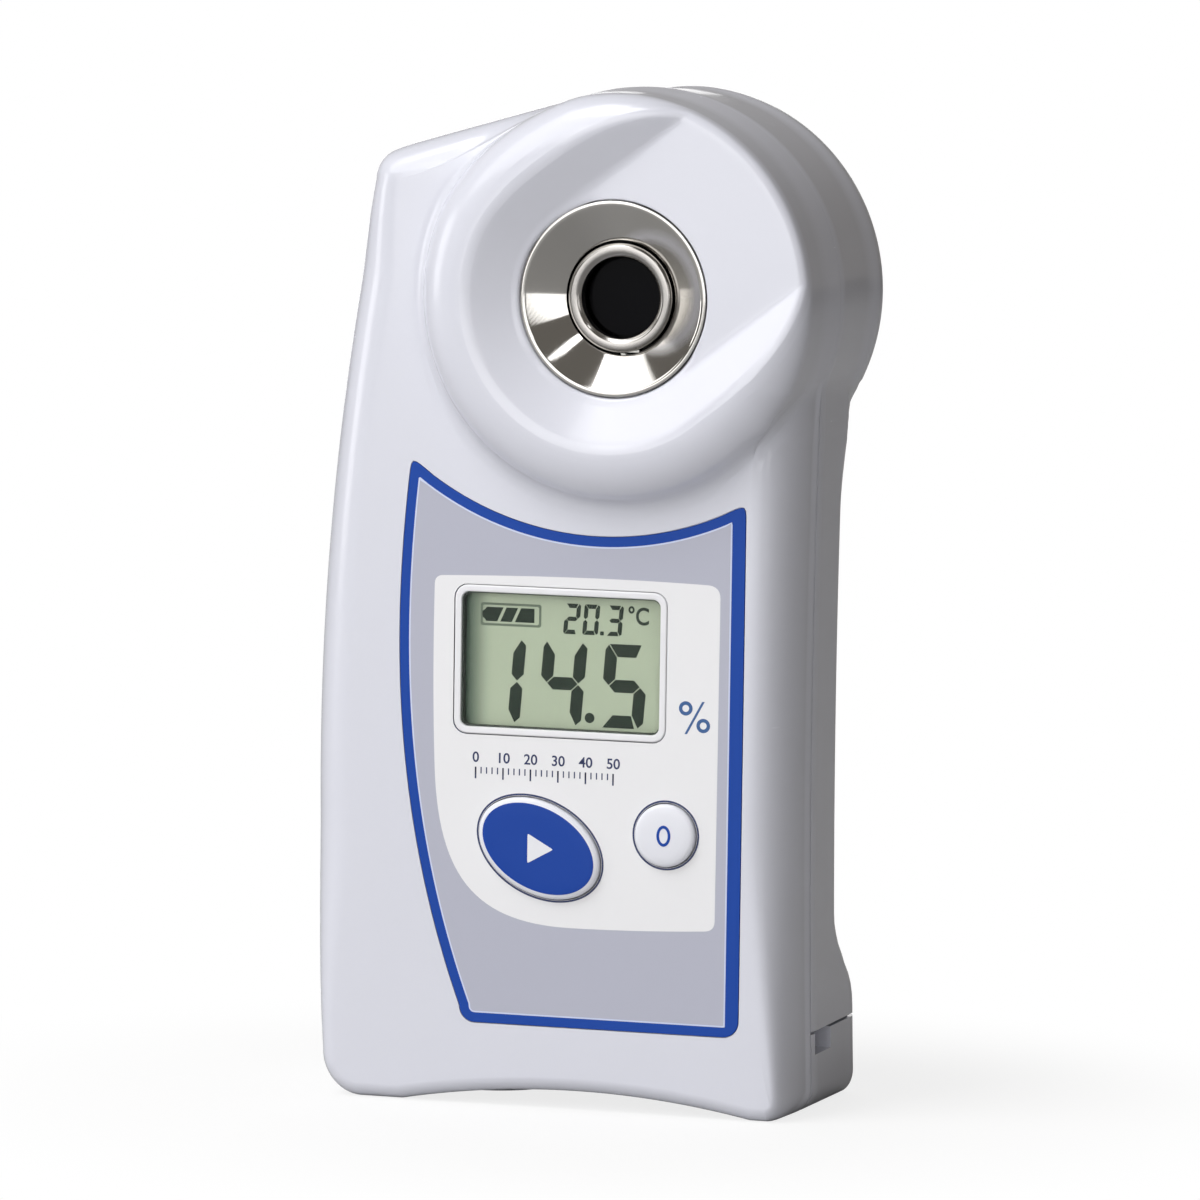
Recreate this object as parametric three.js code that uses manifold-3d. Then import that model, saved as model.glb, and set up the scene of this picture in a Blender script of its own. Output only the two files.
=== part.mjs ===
// Pocket digital refractometer: a hand-held instrument with a round measuring head,
// a display, two keys and a battery bay closed by a cap under its rear half.
// Millimetres. X points right, Y points to the back and Z up. It stands on its feet
// at z = 0, with the origin under the middle of its box.
import * as THREE from 'three';
import { mergeVertices } from 'three/addons/utils/BufferGeometryUtils.js';
import Module from 'manifold-3d';

const wasm = await Module();
wasm.setup();

// Driving sizes of the case
const caseWidth = 57;
const caseDepth = 31;
const caseHeight = 109;
const headRadius = 22.1;
const crestShare = 0.142;
const seamShare = 0.2774;
const waistShare = 0.1935;
const shoulderShare = 0.0806;
const wall = 1.8;
const seamGap = 0.3;
const gap = 0.3;
const seat = 0.05;
const draftShare = 0.04;
const headDraftShare = 0.01;
const cutOverrun = 1;
const weldDistance = 0.0001;
const needleWidth = 0.008;

// Driving sizes of the outline seen from the front
const sideOverhang = 1.8;
const sideHollow = 0.7;
const leftFall = 4;
const leftWidestShare = 0.4258;
const shoulderSlope = THREE.MathUtils.degToRad(16);
const shoulderRadius = 4;
const leftFootRadius = 5;
const rightFootRadius = 2.6;
const archHeight = 1.9;
const archHalfShare = 0.3439;
const archOffsetShare = 0.0421;
const frontEdgeLeft = 5;
const frontEdgeTop = 4.2;
const frontEdgeShoulder = 3.4;
const frontEdgeRight = 4.3;
const frontEdgeFoot = 1.6;
const frontDepthRight = 7.6;
const shoulderRun = 12;
const backEdgeBody = 3;
const backEdgeFoot = 1.4;

// Driving sizes of the back seen from the side
const bulgeTop = 9.8;
const bulgeFoot = 20;
const flareFootShare = 0.5872;
const flareTopShare = 0.7248;
const headBackEdge = 3;

// Driving sizes of the measuring stage
const stageRadius = 10.36;
const dishDepth = 2.5;
const dishLedge = 0.15;
const dishCrestRadius = 15.8;
const bandDrop = 3.9;
const scoopAngle = THREE.MathUtils.degToRad(37);

// Driving sizes of the battery bay
const capHeight = 8.6;
const cellLengthShare = 0.6867;
const cellSpacing = 0.5;
const cellBacking = 2.2;
const cellBottom = 7.2;
const backWall = 1.4;

// Places that follow from the sizes above
const crestY = -caseDepth / 2;
const backY = caseDepth / 2;
const faceToSeam = caseDepth * seamShare;
const faceY = crestY + caseDepth * crestShare;
const seamY = faceY + faceToSeam;
const waistY = backY - caseDepth * waistShare;
const shoulderY = backY - caseDepth * shoulderShare;
const headX = caseWidth / 2 - headRadius;
const headZ = caseHeight - headRadius;
const sideX = caseWidth / 2 - sideOverhang;
const bodyTop = headZ - headRadius;
const flareFoot = caseHeight * flareFootShare;
const flareTop = caseHeight * flareTopShare;
const leftWidestHeight = headZ * leftWidestShare;
const archHalfWidth = caseWidth * archHalfShare;
const archOffset = caseWidth * archOffsetShare;
const frontSeamY = seamY - seamGap / 2;
const rearSeamY = seamY + seamGap / 2;
const insideFrontY = faceY + wall;
const dishFloorY = crestY + dishDepth;

const instrument = new THREE.Group();

// Materials
function finish(colour, roughness, metalness = 0) {
  return new THREE.MeshStandardMaterial({ color: colour, roughness, metalness });
}
const casePlastic = finish('#e4e5ee', 0.22);
const keyBlue = finish('#2a55a4', 0.4);
const keyWhite = finish('#f1f2f8', 0.4);
const overlayPrint = finish('#c3c5d2', 0.35);
const clearPlastic = finish('#dfe6df', 0.05);
const displayGlass = finish('#aebb9f', 0.15);
const steel = finish('#c9c9c6', 0.15, 1);
const prismGlass = finish('#1a1b1f', 0.03);
const blackPlastic = finish('#1d1d20', 0.5);
const greyRubber = finish('#4a4c50', 0.8);
const boardGreen = finish('#1d5a38', 0.5);
const chipBlack = finish('#222226', 0.45);
const springSteel = finish('#b9b9b4', 0.3, 1);
const goldContact = finish('#c8a552', 0.3, 1);
const cellJacket = finish('#8f9296', 0.35, 0.6);
const ribbonAmber = finish('#b0722a', 0.45);
const lampClear = finish('#e9e3c8', 0.1);

// Numbers of flat sides on round shapes
const coarseSides = 12;
const slimSides = 16;
const smallSides = 20;
const roundSides = 24;
const plainSides = 32;
const barrelSides = 36;
const fineSides = 40;
const coneSides = 48;

// Shape helpers
function solidOf(geometry) {
  const bare = geometry.index ? geometry.toNonIndexed() : geometry.clone();
  bare.deleteAttribute('normal');
  bare.deleteAttribute('uv');
  const merged = mergeVertices(bare, weldDistance);
  const index = merged.index.array;
  const corner = (vertex) => new THREE.Vector3().fromBufferAttribute(merged.attributes.position, vertex);
  const triangles = [];
  let sixVolumes = 0;
  for (let i = 0; i < index.length; i += 3) {
    const [a, b, c] = [index[i], index[i + 1], index[i + 2]];
    if (a === b || b === c || c === a) continue;
    triangles.push([a, b, c]);
    sixVolumes += corner(a).dot(corner(b).cross(corner(c)));
  }
  // A profile drawn the other way round gives faces that point in, so they are turned
  const facing = sixVolumes < 0 ? triangles.map(([a, b, c]) => [a, c, b]) : triangles;
  const vertProperties = Float32Array.from(merged.attributes.position.array);
  const triVerts = Uint32Array.from(facing.flat());
  return new wasm.Manifold(new wasm.Mesh({ numProp: 3, vertProperties, triVerts }));
}

function geometryOf(solid) {
  const { vertProperties, triVerts, numProp } = solid.simplify(needleWidth).getMesh();
  const places = new Float32Array(triVerts.length * 3);
  triVerts.forEach((vertex, i) => {
    for (let axis = 0; axis < 3; axis += 1) places[i * 3 + axis] = vertProperties[vertex * numProp + axis];
  });
  const geometry = new THREE.BufferGeometry();
  geometry.setAttribute('position', new THREE.BufferAttribute(places, 3));
  geometry.computeVertexNormals();
  return geometry;
}

function add(name, shape, material) {
  const geometry = shape.isBufferGeometry ? shape : geometryOf(shape);
  const mesh = new THREE.Mesh(geometry, material);
  mesh.name = name;
  instrument.add(mesh);
  return mesh;
}

function block(x0, x1, y0, y1, z0, z1) {
  const geometry = new THREE.BoxGeometry(x1 - x0, y1 - y0, z1 - z0);
  geometry.translate((x0 + x1) / 2, (y0 + y1) / 2, (z0 + z1) / 2);
  return solidOf(geometry);
}

// A plate whose outline lies in the XZ plane, from y0 back to y1
function plateAlongY(points, y0, y1) {
  return sectionOf(points).extrude(y1 - y0).rotate([90, 0, 0]).translate([0, y1, 0]);
}

// A plate whose outline lies in the XY plane, from z0 up to z1
function plateAlongZ(points, z0, z1) {
  return sectionOf(points).extrude(z1 - z0).translate([0, 0, z0]);
}

function sectionOf(points) {
  return Array.isArray(points) ? new wasm.CrossSection([points], 'NonZero') : points;
}

// A turned piece about a line along Y, its profile given as [radius, y]
function turnedAboutY(profile, x, z, sides = plainSides) {
  const points = profile.map(([radius, y]) => new THREE.Vector2(radius, y));
  const geometry = new THREE.LatheGeometry(points, sides);
  geometry.translate(x, 0, z);
  return solidOf(geometry);
}

// A turned piece about a line along Z, its profile given as [radius, z]
function turnedAboutZ(profile, x, y, sides = plainSides) {
  const points = profile.map(([radius, z]) => new THREE.Vector2(radius, z));
  const geometry = new THREE.LatheGeometry(points, sides);
  geometry.rotateX(Math.PI / 2);
  geometry.translate(x, y, 0);
  return solidOf(geometry);
}

function rodAlongY(x, z, radius, y0, y1, sides = roundSides) {
  return turnedAboutY([[0, y0], [radius, y0], [radius, y1], [0, y1]], x, z, sides);
}

function rodAlongZ(x, y, radius, z0, z1, sides = roundSides) {
  return turnedAboutZ([[0, z0], [radius, z0], [radius, z1], [0, z1]], x, y, sides);
}

function arcPoints(x, z, radiusX, radiusZ, from, to, steps) {
  const points = [];
  for (let i = 0; i <= steps; i += 1) {
    const angle = from + (to - from) * i / steps;
    points.push([x + radiusX * Math.cos(angle), z + radiusZ * Math.sin(angle)]);
  }
  return points;
}

// Numbers of points along the stretches of the outline, and of rings over the shells
const headArcSteps = 12;
const shoulderSteps = 2;
const shoulderCornerSteps = 3;
const footCornerSteps = 4;
const archSteps = 7;
const rightCornerSteps = 2;
const bandSteps = 3;
const edgeSteps = 3;
const bisectionSteps = 40;

function mix(a, b, share) {
  return a + (b - a) * share;
}

function clamp01(value) {
  return Math.min(1, Math.max(0, value));
}

function easeShare(share) {
  const held = clamp01(share);
  return held * held * (3 - 2 * held);
}

function bisect(test, low, high) {
  let [inside, outside] = [low, high];
  for (let i = 0; i < bisectionSteps; i += 1) {
    const middle = (inside + outside) / 2;
    if (test(middle)) inside = middle;
    else outside = middle;
  }
  return inside;
}

// The heights at which the back changes its slope, from the top down
const sideHeights = [
  flareTop, mix(flareTop, flareFoot, 0.5), flareFoot,
  mix(flareFoot, bulgeFoot, 1 / 3), mix(flareFoot, bulgeFoot, 2 / 3), bulgeFoot,
  mix(bulgeFoot, bulgeTop, 1 / 3), mix(bulgeFoot, bulgeTop, 2 / 3), bulgeTop,
];

// Where the back of the body lies at a height: out at the foot, in at the waist
function backYAt(z) {
  if (z < flareFoot) return mix(backY, waistY, easeShare((z - bulgeTop) / (bulgeFoot - bulgeTop)));
  return mix(waistY, shoulderY, easeShare((z - flareFoot) / (flareTop - flareFoot)));
}

// The outline of the case at its seam, seen from the front: the head's circle, the
// sloping shoulder, the bowed left side, the arched foot and the hollow right side
function leftSideX(z) {
  return -caseWidth / 2 + leftFall * ((z - leftWidestHeight) / (headZ - leftWidestHeight)) ** 2;
}

function rightSideX(z) {
  const share = z / headZ;
  return sideX - sideHollow * 4 * share * (1 - share);
}

// How round the back edge is at a height: tight on the foot bulge and full above it
function backEdgeAt(z) {
  return mix(backEdgeFoot, backEdgeBody, easeShare((z - bulgeTop) / (bulgeFoot - bulgeTop)));
}

// The front edge is tight at the foot and opens to its full roundness above the bulge
function frontEdgeAt(z, full) {
  return mix(frontEdgeFoot, full, easeShare(z / bulgeFoot));
}

function makeOutline() {
  const points = [];
  const put = (x, z, facing, full, onHead = false, depthShare = 0) => {
    const angle = Math.atan2(z - headZ, x - headX);
    const [nx, nz] = [Math.cos(facing), Math.sin(facing)];
    const front = frontEdgeAt(z, full);
    const depth = mix(front, frontDepthRight, depthShare);
    points.push({ x, z, nx, nz, angle, front, depth, back: backEdgeAt(z), onHead });
  };
  const putArc = (x, z, radius, from, to, steps, full, onHead, deepens = 0) => {
    for (let i = 0; i <= steps; i += 1) {
      const facing = mix(from, to, i / steps);
      const place = [x + radius * Math.cos(facing), z + radius * Math.sin(facing)];
      put(...place, facing, full, onHead, deepens * i / steps);
    }
  };
  const joinAngle = -Math.acos((sideX - headX) / headRadius);
  const tangentAngle = Math.PI / 2 + shoulderSlope;
  putArc(headX, headZ, headRadius, joinAngle, tangentAngle, headArcSteps, frontEdgeTop, true);
  const reach = headRadius - shoulderRadius;
  let cornerX = leftSideX(headZ) + shoulderRadius;
  let cornerZ = headZ;
  for (let i = 0; i < bisectionSteps; i += 1) {
    const run = headX - reach * Math.sin(shoulderSlope) - cornerX;
    cornerZ = headZ + reach * Math.cos(shoulderSlope) - run * Math.tan(shoulderSlope);
    cornerX = leftSideX(cornerZ) + shoulderRadius;
  }
  const lineStart = points[points.length - 1];
  const lineEndX = cornerX - shoulderRadius * Math.sin(shoulderSlope);
  for (let i = 1; i <= shoulderSteps; i += 1) {
    const x = mix(lineStart.x, lineEndX, i / (shoulderSteps + 1));
    const z = lineStart.z - (lineStart.x - x) * Math.tan(shoulderSlope);
    put(x, z, tangentAngle, mix(frontEdgeTop, frontEdgeShoulder, i / (shoulderSteps + 1)));
  }
  putArc(cornerX, cornerZ, shoulderRadius, tangentAngle, Math.PI, shoulderCornerSteps, frontEdgeShoulder);
  const leftHeights = [mix(cornerZ, flareTop, 1 / 2), ...sideHeights];
  leftHeights.forEach((z) => {
    const full = mix(frontEdgeShoulder, frontEdgeLeft, easeShare((cornerZ - z) / shoulderRun));
    put(leftSideX(z), z, Math.PI, full);
  });
  const footX = leftSideX(leftFootRadius) + leftFootRadius;
  putArc(footX, leftFootRadius, leftFootRadius, Math.PI, Math.PI * 1.5, footCornerSteps, frontEdgeLeft);
  for (let i = 0; i <= archSteps; i += 1) {
    const share = mix(-1, 1, i / archSteps);
    const lean = Math.atan(2 * share * archHeight / archHalfWidth);
    const place = [archOffset + archHalfWidth * share, archHeight * (1 - share * share)];
    put(...place, -Math.PI / 2 - lean, frontEdgeRight);
  }
  const rightFootX = rightSideX(rightFootRadius) - rightFootRadius;
  const rightFoot = [rightFootX, rightFootRadius, rightFootRadius];
  putArc(...rightFoot, -Math.PI / 2, 0, rightCornerSteps, frontEdgeRight, false, 1);
  const joinZ = headZ + headRadius * Math.sin(joinAngle);
  [...sideHeights].reverse().filter((z) => z < joinZ - rightFootRadius)
    .forEach((z) => put(rightSideX(z), z, 0, frontEdgeRight, false, 1));
  return points;
}
const outline = makeOutline();

// A place on the rounded edge of the body: share 0 is where the flat ends, 1 the side wall
function edgePlace(point, radius, taper, share, depth = radius) {
  const angle = share * Math.PI / 2;
  const inset = radius * (1 - Math.sin(angle));
  return {
    x: point.x - point.nx * (inset + taper),
    z: point.z - point.nz * inset - Math.max(point.nz, 0) * taper,
    drop: depth * (1 - Math.cos(angle)),
  };
}

function distanceFromHead(place) {
  return Math.hypot(place.x - headX, place.z - headZ);
}

// The share of the rounded edge that lies inside the head's wall
function shareUnderHead(point, radius, taper, headWall) {
  if (point.onHead) return 1;
  const beyond = (share) => distanceFromHead(edgePlace(point, radius, taper, share)) < headWall;
  return beyond(0) ? bisect(beyond, 0, 1) : 0;
}

function polar(angle, radius, y) {
  return [headX + radius * Math.cos(angle), y, headZ + radius * Math.sin(angle)];
}

// A closed solid from rings that run round the head's centre, closed flat at both ends
function ringSolid(rings) {
  const count = rings[0].length;
  const middle = (ring) => [headX, ring.reduce((sum, place) => sum + place[1], 0) / count, headZ];
  const places = [];
  const triangle = (a, b, c) => places.push(...a, ...b, ...c);
  const [first, last] = [rings[0], rings[rings.length - 1]];
  for (let i = 0; i < count; i += 1) {
    const j = (i + 1) % count;
    triangle(middle(first), first[i], first[j]);
    for (let k = 0; k + 1 < rings.length; k += 1) {
      triangle(rings[k][i], rings[k + 1][i], rings[k + 1][j]);
      triangle(rings[k][i], rings[k + 1][j], rings[k][j]);
    }
    triangle(middle(last), last[j], last[i]);
  }
  const geometry = new THREE.BufferGeometry();
  geometry.setAttribute('position', new THREE.BufferAttribute(new Float32Array(places), 3));
  return solidOf(geometry);
}

// The front of the head: a shallow dish round the stage, let out as a scoop to one side
// so that a sample wipes off, inside a rounded band
const dishFloorRadius = stageRadius + gap + dishLedge;
const frontTaper = draftShare * faceToSeam;
const frontHeadRadius = headRadius - frontTaper;

function dishYAt(radius, angle) {
  const along = radius * Math.cos(angle - scoopAngle);
  const across = Math.abs(radius * Math.sin(angle - scoopAngle));
  const distance = along > 0 ? across : radius;
  const climb = dishDepth / (dishCrestRadius - dishFloorRadius);
  return dishFloorY - climb * Math.max(0, distance - dishFloorRadius);
}

function bandYAt(radius) {
  const share = clamp01((radius - dishCrestRadius) / (frontHeadRadius - dishCrestRadius));
  return crestY + bandDrop * (1 - Math.sqrt(1 - share * share));
}

function frontRings() {
  const columns = outline.map((point) => {
    const { angle } = point;
    const below = (radius) => dishYAt(radius, angle) > bandYAt(radius);
    const crestRadius = bisect(below, dishFloorRadius, frontHeadRadius);
    const alongScoop = Math.cos(angle - scoopAngle) > 0;
    const spread = alongScoop ? Math.abs(Math.sin(angle - scoopAngle)) : 1;
    const floorEnd = Math.min(dishFloorRadius / spread, crestRadius);
    const column = [
      polar(angle, dishFloorRadius, dishFloorY),
      polar(angle, floorEnd, dishFloorY),
      polar(angle, crestRadius, dishYAt(crestRadius, angle)),
    ];
    const bandShare = (crestRadius - dishCrestRadius) / (frontHeadRadius - dishCrestRadius);
    const bandStart = Math.asin(clamp01(bandShare));
    for (let i = 1; i <= bandSteps; i += 1) {
      const turn = mix(bandStart, Math.PI / 2, i / bandSteps);
      const radius = mix(dishCrestRadius, frontHeadRadius, Math.sin(turn));
      column.push(polar(angle, radius, mix(crestY, crestY + bandDrop, 1 - Math.cos(turn))));
    }
    const hidden = shareUnderHead(point, point.front, frontTaper, frontHeadRadius);
    for (let i = 0; i <= edgeSteps; i += 1) {
      const share = mix(hidden, 1, i / edgeSteps);
      const place = edgePlace(point, point.front, frontTaper, share, point.depth);
      const edge = [place.x, faceY + place.drop, place.z];
      if (i === 0) column.push(hidden > 0 ? edge : polar(angle, frontHeadRadius, faceY));
      column.push(edge);
    }
    column.push([point.x, frontSeamY, point.z]);
    return column;
  });
  return columns[0].map((_, ring) => columns.map((column) => column[ring]));
}

// The back of the case, or with a skin thickness the hollow inside it
function backRings(skin, seamPlane) {
  const headWall = headRadius - headDraftShare * (backY - seamY) - skin;
  const headEdge = headBackEdge - skin;
  const columns = outline.map((point) => {
    const { angle } = point;
    const edge = Math.max(point.back - skin, skin / 2);
    const taper = draftShare * (backYAt(point.z) - seamY) + skin;
    const inner = { ...point, z: point.z - Math.min(point.nz, 0) * skin };
    const surfaceY = (z) => backYAt(z) - skin;
    const hidden = shareUnderHead(inner, edge, taper, headWall);
    const start = edgePlace(inner, edge, taper, hidden);
    const underHead = polar(angle, headWall, 0);
    const foot = hidden > 0 ? start : { x: underHead[0], z: underHead[2], drop: 0 };
    const footY = surfaceY(foot.z) - foot.drop;
    const fullDrop = backY - skin - footY;
    const turnEnd = fullDrop < headEdge ? Math.acos(1 - fullDrop / headEdge) : Math.PI / 2;
    const column = [];
    for (let i = 0; i <= edgeSteps; i += 1) {
      const turn = turnEnd * i / edgeSteps;
      const radius = headWall - headEdge * (1 - Math.sin(turn));
      column.push(polar(angle, radius, backY - skin - headEdge * (1 - Math.cos(turn))));
    }
    column.push([foot.x, footY, foot.z]);
    sideHeights.forEach((height) => {
      const share = foot.z > start.z ? clamp01((foot.z - height) / (foot.z - start.z)) : 0;
      const z = mix(foot.z, start.z, share);
      column.push([mix(foot.x, start.x, share), surfaceY(z) - mix(foot.drop, start.drop, share), z]);
    });
    for (let i = 0; i <= edgeSteps; i += 1) {
      const place = edgePlace(inner, edge, taper, mix(hidden, 1, i / edgeSteps));
      column.push([place.x, surfaceY(place.z) - place.drop, place.z]);
    }
    column.push([point.x - point.nx * skin, seamPlane, point.z - point.nz * skin]);
    return column;
  });
  return columns[0].map((_, ring) => columns.map((column) => column[ring]));
}

// A rod from one place to another
function rodBetween(from, to, radius, sides = roundSides) {
  const [start, end] = [new THREE.Vector3(...from), new THREE.Vector3(...to)];
  const geometry = new THREE.CylinderGeometry(radius, radius, start.distanceTo(end), sides);
  const turn = new THREE.Quaternion().setFromUnitVectors(
    new THREE.Vector3(0, 1, 0), end.clone().sub(start).normalize(),
  );
  geometry.applyQuaternion(turn);
  const middle = start.clone().add(end).multiplyScalar(1 / 2);
  geometry.translate(middle.x, middle.y, middle.z);
  return solidOf(geometry);
}

// The outline moved inwards, as a section for a plate
function outlineInset(inset) {
  const points = outline.map((point) => [point.x, point.z]);
  return new wasm.CrossSection([points], 'NonZero').offset(-inset, 'Miter', 2);
}

function joined(...solids) {
  return solids.reduce((whole, solid) => whole.add(solid));
}

function cut(solid, ...tools) {
  return tools.reduce((whole, tool) => whole.subtract(tool), solid);
}

// A bar of round wire wound into a coil, as one unbroken tube along Z
function coil(x, y, z0, z1, turns) {
  const climb = z1 - z0 - 2 * springWireRadius;
  const count = turns * coilSteps;
  const places = [];
  for (let i = 0; i <= count; i += 1) {
    const angle = 2 * Math.PI * i / coilSteps;
    const along = [x + springRadius * Math.cos(angle), y + springRadius * Math.sin(angle)];
    places.push(new THREE.Vector3(...along, z0 + springWireRadius + climb * i / count));
  }
  const triangles = [];
  const put = (...corners) => corners.forEach((corner) => triangles.push(corner.x, corner.y, corner.z));
  const rings = places.map((place, i) => {
    const angle = 2 * Math.PI * i / coilSteps;
    const outward = new THREE.Vector3(Math.cos(angle), Math.sin(angle), 0);
    return Array.from({ length: wireSides }, (_, k) => {
      const turn = 2 * Math.PI * k / wireSides;
      return place.clone().addScaledVector(outward, springWireRadius * Math.cos(turn))
        .add(new THREE.Vector3(0, 0, springWireRadius * Math.sin(turn)));
    });
  });
  for (let i = 0; i < count; i += 1) {
    for (let k = 0; k < wireSides; k += 1) {
      const next = (k + 1) % wireSides;
      put(rings[i][k], rings[i + 1][k], rings[i + 1][next]);
      put(rings[i][k], rings[i + 1][next], rings[i][next]);
    }
  }
  for (let k = 1; k + 1 < wireSides; k += 1) {
    put(rings[0][0], rings[0][k], rings[0][k + 1]);
    put(rings[count][0], rings[count][k + 1], rings[count][k]);
  }
  const geometry = new THREE.BufferGeometry();
  geometry.setAttribute('position', new THREE.BufferAttribute(new Float32Array(triangles), 3));
  return solidOf(geometry);
}

// Stage sizes: a polished steel cone with a barrel that passes through the case
const flangeThickness = 1;
const sealThickness = 0.35;
const sealWidth = 0.9;
const barrelRadius = 8.9;
const barrelDepth = 5.4;
const coneDepth = 2.7;
const barrelBackY = dishFloorY + barrelDepth;
const coneBottomY = dishFloorY + coneDepth;
const rimWidth = 0.5;
const collarRadius = 5.8;
const collarBoreRadius = 4.33;
const collarRise = 0.5;
const lipShare = 0.3;
const prismBackset = 1.6;
const nutThickness = 1.9;
const nutWidth = 3;
const bossDepth = 3.6;
const bossBackY = dishFloorY + bossDepth;
const flangeSeatY = dishFloorY + flangeThickness + sealThickness + 2 * seat;

// Screw sizes
const screwRadius = 1;
const screwHeadRadius = 1.9;
const screwHeadHeight = 1.3;
const screwBossRadius = 2.4;
const screwFloor = 1.4;
const screwBite = 4.2;
const upperRightDrop = 20.4;
const upperLeftDrop = 2.9;
const lowerScrewZ = 0.2477 * caseHeight;
const caseScrews = [
  { name: 'case_screw_lower_left', x: -0.3965 * caseWidth, z: lowerScrewZ },
  { name: 'case_screw_lower_right', x: 0.3895 * caseWidth, z: lowerScrewZ },
  { name: 'case_screw_upper_right', x: 0.3772 * caseWidth, z: headZ - upperRightDrop },
  { name: 'case_screw_upper_left', x: -0.3561 * caseWidth, z: headZ - upperLeftDrop },
];

// The printed overlay on the front, with the display window and the two keys
const overlayThickness = 0.5;
const overlayProud = 0.1;
const overlayLeft = -0.3316 * caseWidth;
const overlayRight = 0.3719 * caseWidth;
const overlayBottom = 8.9;
const overlayTopLeft = -0.2912 * caseWidth;
const overlayTopRadius = 34;
const overlayTopRise = 8.6;
const overlayTopCentre = [0.0842 * caseWidth, headZ + overlayTopRise];
const overlayFootLeft = -0.1825 * caseWidth;
const overlayCorner = 2.2;
const sideSweepShares = [0.39, 0.73];
const bowShare = 0.2;
const overlayCornerSteps = 3;
const overlayTopSteps = 8;
const overlaySideSteps = 6;
const displayCentre = [0.0079 * caseWidth, 0.7386 * bodyTop];
const displaySize = [0.4193 * caseWidth, 0.2469 * bodyTop];
const glassInset = 0.85;
const frameWall = 0.35;
const windowThickness = 0.4;
const bezelDepth = 0.95;
const panelThickness = 1.4;
const frameFlange = 1;
const frameFlangeThickness = 0.6;
const startCentre = [-0.0263 * caseWidth, 0.4321 * bodyTop];
const startHalfSize = [7, 4.75];
const startTilt = THREE.MathUtils.degToRad(-25);
const zeroCentre = [0.2211 * caseWidth, 0.4645 * bodyTop];
const zeroRadius = 3.2;
const keyTravel = 0.4;
const keyProud = 0.5;
const keyCrown = 0.25;
const keyFlange = 0.9;
const keyFlangeThickness = 0.6;
const keySides = 28;
const overlayBackY = faceY + overlayThickness - overlayProud;
const overlayFrontY = faceY - overlayProud;

function ellipsePoints([x, z], [halfX, halfZ], tilt, sides = keySides) {
  const [rightwards, upwards] = [Math.cos(tilt), Math.sin(tilt)];
  return Array.from({ length: sides }, (_, i) => {
    const turn = 2 * Math.PI * i / sides;
    const [along, across] = [halfX * Math.cos(turn), halfZ * Math.sin(turn)];
    return [x + along * rightwards - across * upwards, z + along * upwards + across * rightwards];
  });
}

function grownEllipse(centre, halfSize, tilt, growth) {
  return ellipsePoints(centre, halfSize.map((half) => half + growth), tilt);
}

function rectanglePoints([x, z], [width, height], growth = 0) {
  const [halfX, halfZ] = [width / 2 + growth, height / 2 + growth];
  return [[x - halfX, z - halfZ], [x + halfX, z - halfZ], [x + halfX, z + halfZ], [x - halfX, z + halfZ]];
}

// The overlay's outline: a hollow top that follows the head, a bowed left side that
// sweeps in to the foot, and square corners softened at the foot
function overlayPoints(growth) {
  const points = [];
  const rightTurn = Math.acos((overlayRight - overlayTopCentre[0]) / overlayTopRadius);
  const leftTurn = Math.acos((overlayTopLeft - overlayTopCentre[0]) / overlayTopRadius);
  const topLeftZ = overlayTopCentre[1] - overlayTopRadius * Math.sin(leftTurn);
  const topArc = arcPoints(
    ...overlayTopCentre, overlayTopRadius - growth, overlayTopRadius - growth,
    -leftTurn, -rightTurn, overlayTopSteps,
  );
  points.push(...topArc);
  points[0][0] -= growth;
  points[overlayTopSteps][0] += growth;
  points.push(...arcPoints(
    overlayRight - overlayCorner, overlayBottom + overlayCorner,
    overlayCorner + growth, overlayCorner + growth, 0, -Math.PI / 2, overlayCornerSteps,
  ));
  const sweepHeights = sideSweepShares.map((share) => mix(overlayBottom, topLeftZ, share));
  const bowedLeft = overlayLeft + overlayCorner * bowShare;
  const side = new THREE.CubicBezierCurve(
    new THREE.Vector2(overlayFootLeft - growth, overlayBottom + overlayCorner),
    new THREE.Vector2(overlayLeft - growth, sweepHeights[0]),
    new THREE.Vector2(bowedLeft - growth, sweepHeights[1]),
    new THREE.Vector2(points[0][0], points[0][1]),
  );
  points.push(...arcPoints(
    overlayFootLeft + overlayCorner, overlayBottom + overlayCorner,
    overlayCorner + growth, overlayCorner + growth, -Math.PI / 2, -Math.PI, overlayCornerSteps,
  ));
  for (let i = 1; i < overlaySideSteps; i += 1) {
    const place = side.getPoint(i / overlaySideSteps);
    points.push([place.x, place.y]);
  }
  return points;
}

// Seals
const gasketInset = 0.6;
const gasketWidth = 0.7;
const gasketDepth = 0.5;
const capGasketInset = 0.5;
const capGasketWidth = 0.7;
const capGasketHeight = 0.6;

// Strap slot, which runs in from the right side and down behind a bar
const strapWidth = 6.3;
const strapSeamOffset = 1;
const strapSlotBottom = 6.2;
const strapPocketDepth = 5.3;
const strapBarThickness = 2.8;
const strapFront = rearSeamY + strapSeamOffset;
const strapBack = strapFront + strapWidth;
const strapPocketLeft = sideX - strapPocketDepth;
const strapBarInside = sideX - strapBarThickness;

// Lock knob with its coin slot, shaft and cam
const capFloorTop = 3.9;
const knobDepthShare = 0.4454;
const knobRadius = 0.2323 * caseDepth;
const knobCentre = [-0.2105 * caseWidth, mix(rearSeamY, backY, knobDepthShare)];
const knobThickness = 2.1;
const shaftRadius = 1.9;
const shaftTop = 6.2;
const coinSlotWidth = 1.7;
const coinSlotDepth = 1.1;
const coinSlotLength = 11;
const camLength = 11;
const camWidth = 4.6;
const camThickness = 1.1;

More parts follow.
